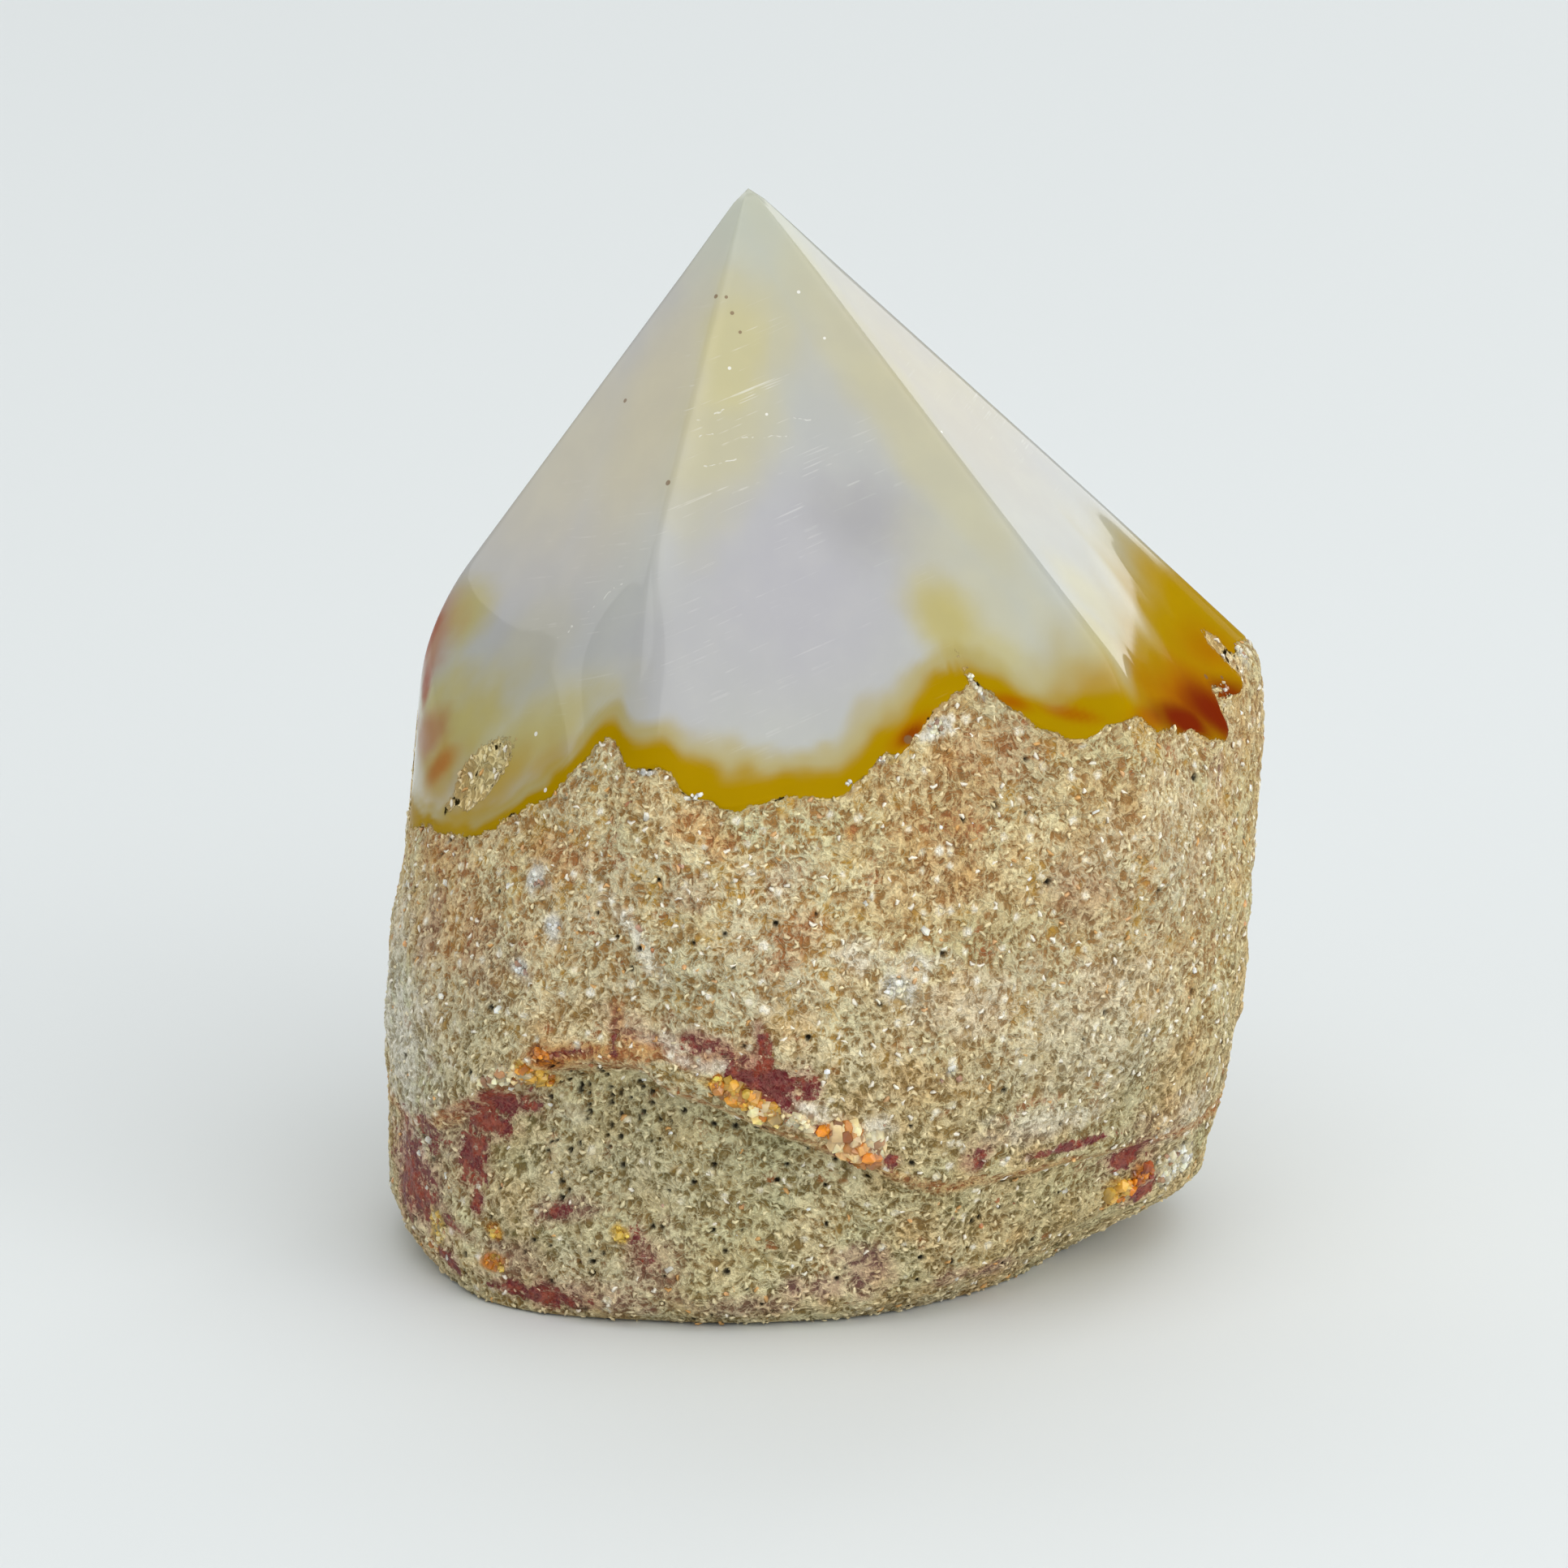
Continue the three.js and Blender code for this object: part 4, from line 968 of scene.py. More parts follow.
grainForm = {
    "spacing": 1.25,            # mm from one grain to the next
    "length": (0.35, 0.65),
    "width": (0.24, 0.40),
    "rise": (0.10, 0.18),
    "bend": (0.05, 0.30),       # how far a grain curls off its straight line, as a share of its length
    "tilt": 22,                 # degrees that it may lean out of the skin
    "lift": 0.02,               # mm that its middle lies over the skin
    "blunt": 0.70,              # size of a grain's ends against its middle
    "highest": 46.5,            # mm up to which places are tried
    "inside": -0.1,             # a grain keeps this far from the skin's edge
    "fewerBare": 0.8,           # share of the grains that is missing where the skin is bare
    "smallBare": 0.55,          # size of those that are there
    # tints: how much cream; share, more above the ledge or higher up, and strength of white and amber grains
    "cream": 0.7,
    "whites": (0.08, 0.20, 0.85), "overLedge": (-1.5, 1.5),
    "ambers": (0.05, 0.05, 0.8), "amberHeight": 24,
    # pink where bare; then painted shade and light: the grains' sides darker and browner, their tops lighter
    "pinkBare": 0.6, "sideShadeUmber": 0.15,
    "brightness": (0.9, 1.1), "sideShade": 0.9, "topLight": 1.04,
    # four pieces, each a quarter of the way round
    "quarters": {"front_grains": -90, "right_grains": 0, "back_grains": 90, "left_grains": 180},
}


# places about a spacing apart all over the skin: rows evenly spaced along the mean profile's length, places
# evenly spaced along each row, all moved at random inside their cells
def scatterPlaces(spacing, highest, rng):
    level = np.linspace(0.02, highest, 1200)
    around = np.linspace(-180, 180, 72, endpoint=False)
    profile = stoneRadius(around[None, :], level[:, None]).mean(1)
    length = np.r_[0, np.cumsum(np.hypot(np.diff(level), np.diff(profile)))]
    rows = np.arange(spacing / 2, length[-1], spacing)
    radius = np.interp(rows, length, profile)
    perRow = (2 * np.pi * radius / spacing).astype(int)
    row = np.repeat(np.arange(len(rows)), perRow)
    along = np.arange(len(row)) - np.repeat(np.cumsum(perRow) - perRow, perRow)
    bearing = (along + rng.random(len(row))) / perRow[row] * 360 - 180
    height = np.interp(rows[row] + (rng.random(len(row)) - 0.5) * spacing, length, level)
    return bearing, height


# centre, and unit vectors round the stone, up it and out of it, from small steps over the surface
def framesAt(bearing, height, step=0.12):
    centre, radius, above = surface(bearing, height)
    turn = np.degrees(step / radius)
    east = surface(bearing + turn, height)[0] - surface(bearing - turn, height)[0]
    north = surface(bearing, height + step)[0] - surface(bearing, np.maximum(height - step, 0))[0]
    out = np.cross(east, north)
    out /= np.linalg.norm(out, axis=1, keepdims=True)
    east /= np.linalg.norm(east, axis=1, keepdims=True)
    return centre, radius, above, east, np.cross(out, east), out


# a grain is a closed curl with 9 points: its spine runs from -1/2 to 1/2 of its length, bends aside by
# bend * (1 - (2t - 1)^2) and rises by rise * (1 - (2t - 1)^2), with three corners round it at t = 0, 0.5, 1
curlFaces = np.array([
    (0, 2, 1), (0, 1, 4), (0, 4, 3), (1, 2, 5), (1, 5, 4), (2, 0, 3), (2, 3, 5),
    (3, 4, 7), (3, 7, 6), (4, 5, 8), (4, 8, 7), (5, 3, 6), (5, 6, 8), (6, 7, 8),
])
curlPlan = np.array([    # share along the spine, corner's share of the width and of the height
    (t, side * size, up * size) for t, size in ((0, grainForm["blunt"]), (0.5, 1), (1, grainForm["blunt"]))
    for side, up in ((-0.5, -0.3), (0.5, -0.3), (0, 0.7))
])


def curls(centre, along, aside, out, length, width, rise, bend, tilt):
    t, side, up = curlPlan.T
    arch = 1 - (2 * t - 1) ** 2
    forward = (t - 0.5) * length[:, None]
    sideways = bend[:, None] * (arch - 0.5) + side * width[:, None]
    upward = rise[:, None] * (arch * 0.5 + up) + np.tan(tilt)[:, None] * forward + grainForm["lift"]
    return (centre[:, None] + forward[..., None] * along[:, None] + sideways[..., None] * aside[:, None]
            + upward[..., None] * out[:, None])


# corner of a square of the map for each of many small shapes, and how many squares lie side by side
def mapSquares(count):
    side = int(np.ceil(np.sqrt(count)))
    cell = np.arange(count)
    return np.stack([cell % side, cell // side], -1)[:, None], side


# every grain gets its own square of the map, with its 9 points laid out flat in it
def grainMap(count):
    corner, side = mapSquares(count)
    plan = np.stack([0.15 + 0.7 * curlPlan[:, 0], 0.5 + 0.6 * curlPlan[:, 1]], -1)
    return (corner + plan[None]) / side


# tints of the grains: the curls' colour there with some cream, some white or amber, with painted shade darker
# at the sides and painted light on top
def grainTints(bearing, height, radius, centre, bare, rng):
    form, look, count = grainForm, skinLook, len(bearing)
    hollow, colour = skinColours(bearing, height, radius, centre)
    colour = overlay(colour, form["cream"] * rng.random(count), look["cream"])
    overLedge = smoothStep(*form["overLedge"], height - lipHeight(bearing))
    higher = height > form["amberHeight"]
    for (share, more, strength), where, shade in (
        (form["whites"], overLedge, "white"), (form["ambers"], higher, "amber"),
    ):
        colour = overlay(colour, (rng.random(count) < share + more * where) * strength, look[shade])
    colour = overlay(colour, form["pinkBare"] * bare, look["pink"])
    colour = colour * rng.uniform(*form["brightness"], (count, 1))
    # painted shade on the side corners, painted light on the top corners
    side = overlay(colour * form["sideShade"], np.full(count, form["sideShadeUmber"]), look["umber"])
    top = (curlPlan[:, 2] > 0)[None, :, None]
    return np.clip(np.where(top, colour[:, None] * form["topLight"], side[:, None]), 0, 1)


def makeGrains():
    form, rng = grainForm, np.random.default_rng(21)
    bearing, height = scatterPlaces(form["spacing"], form["highest"], rng)
    centre, radius, above, east, north, out = framesAt(bearing, height)
    count = len(bearing)
    bare = bareMask(bearing, height, radius, centre)
    keep = (above < form["inside"]) & (rng.random(count) > form["fewerBare"] * bare)
    turn = rng.uniform(0, 2 * np.pi, count)[:, None]
    along = np.cos(turn) * east + np.sin(turn) * north
    aside = np.cos(turn) * north - np.sin(turn) * east
    small = np.where(bare > 0.4, form["smallBare"], 1.0)
    length, width, rise = (rng.uniform(*form[key], count) * small for key in ("length", "width", "rise"))
    bend = rng.uniform(*form["bend"], count) * rng.choice([-1, 1], count) * length
    tilt = np.radians(rng.uniform(-1, 1, count) * form["tilt"])
    points = curls(centre, along, aside, out, length, width, rise, bend, tilt)
    points[..., 2] = np.maximum(points[..., 2], crustForm["lowest"])
    tints = grainTints(bearing, height, radius, centre, bare, rng)

    pieces = []
    for name, middle in form["quarters"].items():
        mine = keep & (np.abs(wrapTurn(bearing - middle)) <= 45)
        number = mine.sum()
        faces = (np.arange(number)[:, None, None] * len(curlPlan) + curlFaces).reshape(-1, 3)
        uv = grainMap(number).reshape(-1, 2)[faces]
        colours = {"grainTint": tints[mine].reshape(-1, 3)}
        pieces.append(arrayMesh(name, points[mine].reshape(-1, 3), faces, uv, colours=colours))
        print("  ", name, number, "grains", len(faces), "triangles")
    return pieces


# Crystals on the ledges, at the edge of the polish and on the skin

crystalForm = {
    "sides": 6,
    "length": (0.35, 1.15),      # of the longest in its cluster
    "slimness": (0.40, 0.90),    # width over length
    "shoulder": 0.75,            # share of the length where the point starts
    "sunk": 0.45,                # share of the length that lies behind the crystal's place
    "lift": (-5, 60),            # degrees that the crystals stand out of the skin
    "worn": 0.22,                # how far their corners are off
    "crowding": 1.35,            # crystals for each one counted below
    "brightness": (0.65, 1.3), "rootShade": 0.50, "tipShade": 0.62,
    "mix": (0.4, 0.38),          # how much the colour goes by place, and how much it varies
    "rusty": (0.16, 0.8),        # share that is stained with rust, and how strongly
    # bearing, height, half across, half up, turn, how many, longest, colour at the left end, at the right end
    "clusters": [
        (-137.2, 17.8, 1.7, 0.7, 18, 34, 1.0, "cream", "tan"),
        (-133.8, 18.0, 0.9, 0.8, 20, 26, 1.1, "yellow", "orange"),
        (-130.8, 19.7, 0.7, 0.6, 0, 14, 0.8, "orange", "rust"),
        (-99.8, 18.3, 2.5, 0.5, -29, 64, 1.1, "yellow", "orange"),
        (-96.6, 17.2, 1.0, 0.5, -29, 26, 1.1, "peach", "yellow"),
        (-86.8, 15.9, 0.7, 0.4, -10, 16, 1.0, "orange", "orange"),
        (-83.6, 14.9, 1.8, 1.1, -40, 60, 1.5, "peach", "orange"),
        (-80.6, 14.6, 0.8, 0.9, 0, 20, 1.1, "cream", "peach"),
        (-91.5, 16.6, 1.2, 0.4, -20, 20, 0.8, "cream", "peach"),
        (-29.8, 6.9, 1.0, 0.8, 0, 22, 1.1, "yellow", "orange"),
        (-26.2, 7.9, 0.8, 0.7, 0, 18, 1.0, "orange", "scarlet"),
        (-18.5, 7.6, 1.8, 1.2, 0, 40, 0.8, "cream", "white"),
        (-143.0, 5.9, 0.6, 0.5, 0, 12, 0.7, "yellow", "orange"),
        (-143.2, 3.5, 0.8, 0.5, 0, 12, 0.7, "orange", "yellow"),
        (-154.6, 4.6, 1.0, 1.1, 0, 22, 0.7, "yellow", "cream"),
        (-122.6, 7.2, 0.5, 0.55, 0, 12, 0.7, "yellow", "yellow"),
        (-157, 2.9, 0.8, 0.5, 0, 12, 0.6, "cream", "orange"),
        (-60.3, 42.0, 0.9, 0.35, 30, 16, 0.55, "white", "cream"),
        (-114.0, 39.9, 0.5, 0.12, 0, 6, 0.35, "white", "white"),
        (-105.6, 38.5, 0.5, 0.12, 10, 6, 0.4, "white", "white"),
        (-71.3, 40.3, 0.2, 0.15, 0, 4, 0.4, "white", "white"),
        (-51.0, 44.7, 0.12, 0.7, 8, 8, 0.4, "cream", "white"),
        (-2.4, 40.5, 0.5, 0.3, 0, 7, 0.4, "white", "cream"),
        (6.5, 41.6, 0.4, 0.7, 0, 9, 0.45, "cream", "white"),
        (-78.4, 39.0, 0.3, 0.2, 0, 4, 0.35, "white", "white"),
        (-133, 31.8, 0.55, 0.5, 0, 9, 0.6, "white", "white"),
        (-129.6, 28.8, 0.4, 0.5, 0, 8, 0.6, "white", "white"),
        (-134.4, 25.6, 0.6, 0.4, 0, 8, 0.7, "white", "white"),
        (-74.5, 25.6, 0.8, 0.6, 0, 10, 0.6, "white", "cream"),
        (-68, 20, 0.4, 0.3, 0, 4, 0.6, "cream", "white"),
        (66, 15.6, 3.2, 0.6, 8, 60, 1.0, "orange", "cream"),
        (84, 16.8, 1.6, 0.8, -10, 34, 1.1, "cream", "yellow"),
        (100, 15.4, 1.2, 0.5, -12, 18, 0.8, "cream", "orange"),
        (132, 7.5, 1.0, 0.8, 0, 16, 0.7, "yellow", "orange"),
        (165, 12, 0.8, 1.0, 0, 14, 0.7, "cream", "yellow"),
        (40, 38.4, 0.8, 0.4, 0, 14, 0.7, "white", "white"),
        (112, 37.4, 0.8, 0.4, 0, 14, 0.7, "white", "white"),
    ],
    # single crystals all over the skin: how many, longest, lowest and highest start, share that is orange
    "strays": 220, "strayLength": 0.6, "strayFoot": (1, 1), "strayOrange": 0.3,
}


# bearing, height, longest and colour of every crystal: at random inside its cluster's oval, then the strays
def crystalPlaces(rng):
    form, look = crystalForm, skinLook
    bearing, height, longest, colour = [], [], [], []
    byPlace, varied = form["mix"]
    for at, level, halfAcross, halfUp, turn, few, most, left, right in form["clusters"]:
        count = int(few * form["crowding"])
        angle, reach = rng.uniform(0, 2 * np.pi, count), np.sqrt(rng.random(count))
        along, aside, tilt = reach * np.cos(angle) * halfAcross, reach * np.sin(angle) * halfUp, radians(turn)
        across, up = along * cos(tilt) - aside * sin(tilt), along * sin(tilt) + aside * cos(tilt)
        bearing.append(at + np.degrees(across / stoneRadius(at, level)))
        height.append(np.maximum(level + up, 0.6))
        longest.append(np.full(count, most))
        mix = np.clip(0.5 + byPlace * along / halfAcross + rng.normal(0, varied, count), 0, 1)[:, None]
        colour.append(look[left] * (1 - mix) + look[right] * mix)
    strays = form["strays"]
    bearing.append(rng.uniform(-180, 180, strays))
    start = rng.uniform(*form["strayFoot"], strays)
    height.append(start + rng.random(strays) * (skinLineHeight(bearing[-1]) - 2))
    longest.append(np.full(strays, form["strayLength"]))
    orange = look["orange"] * 0.7 + 0.3 * look["cream"]
    colour.append(np.where(rng.random((strays, 1)) < form["strayOrange"], orange, look["white"]))
    return [np.concatenate(part) for part in (bearing, height, longest, colour)]


# a crystal is a six-sided prism that narrows to a point: rings of corners at its root and its shoulder, a tip
# and the middle of the root, all moved a little at random
def makeCrystals():
    form, look, rng = crystalForm, skinLook, np.random.default_rng(33)
    bearing, height, longest, colour = crystalPlaces(rng)
    centre, radius, above, east, north, out = framesAt(bearing, height)
    count, sides = len(bearing), form["sides"]
    turn = rng.uniform(0, 2 * np.pi, count)[:, None]
    lift = np.radians(rng.uniform(*form["lift"], count))[:, None]
    axis = np.cos(lift) * (np.cos(turn) * east + np.sin(turn) * north) + np.sin(lift) * out
    aside = np.cross(axis, out)
    aside /= np.linalg.norm(aside, axis=1, keepdims=True)
    upward = np.cross(aside, axis)
    length = longest * rng.uniform(*form["length"], count)
    width = length * rng.uniform(*form["slimness"], count)
    ring = np.arange(sides) * 2 * np.pi / sides
    share = np.r_[np.zeros(sides), np.full(sides, form["shoulder"]), 1, 0]
    ringX = np.r_[np.cos(ring), np.cos(ring), 0.15, 0]
    ringY = np.r_[np.sin(ring), np.sin(ring), -0.1, 0]
    worn = 1 + form["worn"] * rng.uniform(-1, 1, (count, len(share)))
    forward = (share * rng.uniform(0.9, 1.1, (count, len(share))) - form["sunk"]) * length[:, None]
    points = (centre[:, None] + forward[..., None] * axis[:, None]
              + (0.5 * width[:, None] * worn * ringX)[..., None] * aside[:, None]
              + (0.5 * width[:, None] * worn * ringY)[..., None] * upward[:, None])
    points[..., 2] = np.maximum(points[..., 2], 0.05)
    k, corners = np.arange(sides), len(share)
    after, tip, root = (k + 1) % sides, 0 * k + 2 * sides, 0 * k + 2 * sides + 1
    faces = np.concatenate([
        np.c_[k, after, after + sides], np.c_[k, after + sides, k + sides],
        np.c_[k + sides, after + sides, tip], np.c_[after, k, root],
    ])
    everyFace = (np.arange(count)[:, None, None] * corners + faces).reshape(-1, 3)
    corner, side = mapSquares(count)
    plan = np.stack([0.5 + 0.3 * ringX * (1.2 - share), 0.5 + 0.3 * ringY * (1.2 - share)], -1)
    uv = ((corner + plan[None]) / side).reshape(-1, 2)[everyFace]
    rusty, strength = form["rusty"]
    colour = overlay(colour, strength * (rng.random(count) < rusty), look["rust"])
    colour = colour * rng.uniform(*form["brightness"], (count, 1))
    shade = form["rootShade"] + form["tipShade"] * share
    tints = np.clip(colour[:, None] * shade[None, :, None], 0, 1).reshape(-1, 3)
    points = points.reshape(-1, 3)
    return arrayMesh("crystals", points, everyFace, uv, colours={"grainTint": tints}, smooth=False)


# Helpers for node trees

# a node whose inputs are set from a dictionary: a socket is linked, anything else is a value
def addNode(tree, kind, inputs=None, **settings):
    node = tree.nodes.new("ShaderNode" + kind)
    for key, value in settings.items():
        setattr(node, key, value)
    for key, value in (inputs or {}).items():
        if isinstance(value, bpy.types.NodeSocket):
            tree.links.new(value, node.inputs[key])
        else:
            node.inputs[key].default_value = value
    return node


def maths(tree, operation, first, second=0.0, third=0.0):
    return addNode(tree, "Math", {0: first, 1: second, 2: third}, operation=operation).outputs[0]


def plus(tree, first, second):
    return maths(tree, "ADD", first, second)


def times(tree, first, second):
    return maths(tree, "MULTIPLY", first, second)


def vectorMaths(tree, operation, inputs, output="Vector"):
    return addNode(tree, "VectorMath", inputs, operation=operation).outputs[output]


# 0 to 1 as the value goes from low to high, either way round, along an S curve
def ease(tree, value, low, high):
    inputs = {"Value": value, "From Min": low, "From Max": high}
    return addNode(tree, "MapRange", inputs, interpolation_type="SMOOTHSTEP").outputs[0]


def noise(tree, point, scale, detail=2.0, roughness=0.5):
    inputs = {"Vector": point, "Scale": scale, "Detail": detail, "Roughness": roughness}
    return addNode(tree, "TexNoise", inputs).outputs["Fac"]


def blend(tree, factor, first, second, kind="MIX"):
    inputs = {0: factor, 6: first, 7: second}
    return addNode(tree, "Mix", inputs, data_type="RGBA", blend_type=kind).outputs[2]


# the shader's normal from a height in mm
def addBump(tree, shader, height, distance=mm):
    bump = addNode(tree, "Bump", {"Height": height, "Distance": distance, "Strength": 1.0})
    tree.links.new(bump.outputs[0], shader.inputs["Normal"])


def solid(colour):
    return (*(float(part) for part in colour), 1.0)


# Object coordinates in millimetres
def pointInMm(tree):
    place = addNode(tree, "TexCoord").outputs["Object"]
    return vectorMaths(tree, "SCALE", {0: place, "Scale": 1 / mm})


def attribute(tree, name, output="Fac"):
    return addNode(tree, "Attribute", attribute_name=name).outputs[output]


# a group with its sockets, given as name: (type, start value) and name: type
def newGroup(name, inputs, outputs):
    tree = bpy.data.node_groups.new(name, "ShaderNodeTree")
    for key, (kind, value) in inputs.items():
        tree.interface.new_socket(key, in_out="INPUT", socket_type="NodeSocket" + kind).default_value = value
    for key, kind in outputs.items():
        tree.interface.new_socket(key, in_out="OUTPUT", socket_type="NodeSocket" + kind)
    return tree, tree.nodes.new("NodeGroupInput").outputs, tree.nodes.new("NodeGroupOutput").inputs


def useGroup(tree, group, inputs):
    return addNode(tree, "Group", inputs, node_tree=group).outputs


# Effects that the materials share

# sugary grain: brightness varied by noise of two sizes, and the noise as a height
def grainGroup():
    start = {"Color": ("Color", (1, 1, 1, 1)), "Point": ("Vector", (0, 0, 0)), "Size": ("Float", 0.4),
             "Strength": ("Float", 0.4)}
    tree, given, out = newGroup("sugary grain", start, {"Color": "Color", "Height": "Float"})
    often = maths(tree, "DIVIDE", 1.0, given["Size"])
    coarse = noise(tree, given["Point"], often, 3.0, 0.6)
    cells = addNode(tree, "TexVoronoi", {"Vector": given["Point"], "Scale": often}).outputs["Distance"]
    height = plus(tree, coarse, times(tree, cells, -0.5))
    change = times(tree, maths(tree, "SUBTRACT", coarse, 0.5), given["Strength"])
    bright = plus(tree, 1.0, times(tree, change, 2.2))
    grey = addNode(tree, "CombineColor", {0: bright, 1: bright, 2: bright}).outputs[0]
    tree.links.new(blend(tree, 1.0, given["Color"], grey, "MULTIPLY"), out["Color"])
    tree.links.new(height, out["Height"])
    return tree


# curls: 1 on the lines where swirled noise passes through its middle, falling to 0 beside them
def curlGroup():
    start = {"Point": ("Vector", (0, 0, 0)), "Size": ("Float", 0.5), "Width": ("Float", 0.1)}
    tree, given, out = newGroup("curls", start, {"Mask": "Float"})
    often = maths(tree, "DIVIDE", 1.0, given["Size"])
    inputs = {"Vector": given["Point"], "Scale": often, "Detail": 1.5, "Roughness": 0.45, "Distortion": 0.9}
    value = addNode(tree, "TexNoise", inputs).outputs["Fac"]
    away = maths(tree, "ABSOLUTE", maths(tree, "SUBTRACT", value, 0.5))
    tree.links.new(ease(tree, away, given["Width"], 0.0), out["Mask"])
    return tree


# round spot: 1 inside the radius, fading out over a quarter of it
def spotGroup():
    start = {"Point": ("Vector", (0, 0, 0)), "Centre": ("Vector", (0, 0, 0)), "Radius": ("Float", 0.2)}
    tree, given, out = newGroup("spot", start, {"Mask": "Float"})
    gap = vectorMaths(tree, "DISTANCE", {0: given["Point"], 1: given["Centre"]}, "Value")
    share = maths(tree, "DIVIDE", gap, given["Radius"])
    tree.links.new(ease(tree, share, 1.15, 0.85), out["Mask"])
    return tree


# scratch: 1 within half its width of the line from one end to the other, which noise bends and breaks up.
# The nearest point of the line is at along / length^2 of the way, where along is (point - from) . (to - from)
def scratchGroup():
    start = {"Point": ("Vector", (0, 0, 0)), "From": ("Vector", (0, 0, 0)), "To": ("Vector", (1, 0, 0)),
             "Width": ("Float", 0.06), "Gaps": ("Float", 0.3)}
    tree, given, out = newGroup("scratch", start, {"Mask": "Float"})
    bent = addNode(tree, "TexNoise", {"Vector": given["Point"], "Scale": 0.9, "Detail": 2.0}).outputs["Color"]
    shift = vectorMaths(tree, "SUBTRACT", {0: bent, 1: (0.5, 0.5, 0.5)})
    point = vectorMaths(tree, "MULTIPLY_ADD", {0: shift, 1: (0.9, 0.9, 0.9), 2: given["Point"]})
    away = vectorMaths(tree, "SUBTRACT", {0: point, 1: given["From"]})
    line = vectorMaths(tree, "SUBTRACT", {0: given["To"], 1: given["From"]})
    along = vectorMaths(tree, "DOT_PRODUCT", {0: away, 1: line}, "Value")
    square = vectorMaths(tree, "DOT_PRODUCT", {0: line, 1: line}, "Value")
    part = addNode(tree, "Math", {0: along, 1: square}, operation="DIVIDE", use_clamp=True).outputs[0]
    foot = vectorMaths(tree, "SCALE", {0: line, "Scale": part})
    gap = vectorMaths(tree, "DISTANCE", {0: away, 1: foot}, "Value")
    near = ease(tree, maths(tree, "DIVIDE", gap, given["Width"]), 0.7, 0.3)
    whole = ease(tree, noise(tree, given["Point"], 2.6, 1.0), given["Gaps"], plus(tree, given["Gaps"], 0.12))
    tree.links.new(times(tree, near, whole), out["Mask"])
    return tree


# Materials

polishMarks = {
    # dark specks and pits in the polish: bearing, height, radius
    "darkSpots": [
        (-123.4, 68.8, 0.16), (-114.5, 68.8, 0.12), (-108.6, 67.8, 0.14), (-102, 66.6, 0.12),
        (-121.2, 57.4, 0.2), (-162.1, 61.3, 0.16), (-4.7, 41.5, 0.2), (-1.4, 41.0, 0.15),
        (-65.8, 41.5, 0.3), (60, 58, 0.2), (130, 52, 0.18),
    ],
    # pale flecks: bearing, height, radius
    "paleSpots": [
        (-50.1, 69, 0.12), (-48, 66.1, 0.1), (-106.6, 64.4, 0.12), (-140.2, 40.6, 0.16),
        (-133.8, 37.5, 0.16), (-88, 61.5, 0.1), (-30, 60, 0.1), (95, 62, 0.14), (150, 50, 0.16),
    ],
    # scratches: bearing and height of both ends, width
    "scratches": [
        (-116.5, 61.2, -104.2, 62.0, 0.10), (-116.7, 60.1, -110.7, 60.4, 0.08),
        (-111.2, 58.3, -93.7, 59.1, 0.09), (-100.8, 60.1, -79, 60.2, 0.09),
        (-75.6, 61.2, -68.3, 61.1, 0.08), (-142.4, 46.6, -127.5, 51.2, 0.09), (40, 52, 52, 61, 0.08),
        (118, 60, 136, 55, 0.09),
    ],
    "speck": tint(120, 92, 62), "fleck": tint(232, 231, 224),
    # how strongly the marks tint the polish, laid over each other in this order: mask, strength, tint
    "layers": [
        ("hairlines", 0.45, "fleck"), ("dark", 0.8, "speck"),
        ("pale", 0.8, "fleck"), ("scored", 0.55, "fleck"),
    ],
}


def surfacePoint(bearing, height):
    radius = stoneRadius(bearing, height)
    return tuple(float(part) for part in stonePoint(bearing, height, radius))


# strongest of many masks
def strongest(tree, masks):
    total = masks[0]
    for mask in masks[1:]:
        total = maths(tree, "MAXIMUM", total, mask)
    return total


def newMaterial(name, constants):
    material = bpy.data.materials.new(name)
    material.use_nodes = True
    shader = material.node_tree.nodes["Principled BSDF"]
    for key, value in constants.items():
        shader.inputs[key].default_value = value
    return material, material.node_tree, shader


bareFinish = {"scale": 2.6, "break": 2.6, "fade": (0.42, 0.78)}


# bare patches with edges broken up by noise
def bareness(tree, point):
    broken = maths(tree, "SUBTRACT", noise(tree, point, bareFinish["scale"], 4.0, 0.75), 0.5)
    mask = maths(tree, "MULTIPLY_ADD", broken, bareFinish["break"], attribute(tree, "bare"))
    return ease(tree, mask, *bareFinish["fade"])


stoneFinish = {
    "shader": {
        "IOR": 1.03, "Coat Roughness": 0.04, "Coat IOR": 1.45,
        "Subsurface Weight": 0.08, "Subsurface Scale": 0.0015, "Subsurface Radius": (1.0, 0.85, 0.6),
    },
    "skinEdge": (2.4, 0.9, -0.05, 0.06),      # noise scale and mm that it moves the edge, and the edge's fade
    "clouds": (0.3, 0.35, 0.75),              # noise scale and fade
    "veils": ((0.975, 0.975, 0.985, 1), (1.02, 1.02, 1.01, 1)),
    "hairlineTurn": 0.35,                     # radians off level
    "hairlineStretch": (0.14, 0.14, 6.0),     # they are long and thin
    "hairlineFade": (0.60, 0.72), "hairlinePatches": (0.8, 0.45, 0.62),
    "curls": {"Size": 0.8, "Width": 0.12},
    "curlTints": ((0.74, 0.68, 0.54, 1), (1.38, 1.38, 1.3, 1)),
    "holes": (1.4, 0.64, 0.70),               # noise scale and fade of the holes, painted dark as shade inside them
    "grain": {"Size": 0.42, "Strength": 0.55}, "bareGrain": {"Size": 0.9, "Strength": 0.7},
    "smudges": (0.28, 0.4, 0.8, 0.07),        # noise scale, fade, and roughness that they add
    "roughness": {"polish": 0.07, "scored": 0.3, "sawn": 0.4, "skin": 0.72, "bare": -0.36},
    "sawMarks": {"Scale": 0.35, "Distortion": 0.6, "Detail Scale": 0.2},
    "heights": {"grain": 0.16, "curls": 0.12, "holes": -0.2, "scored": -0.012, "sawMarks": 0.02},      # in mm
}


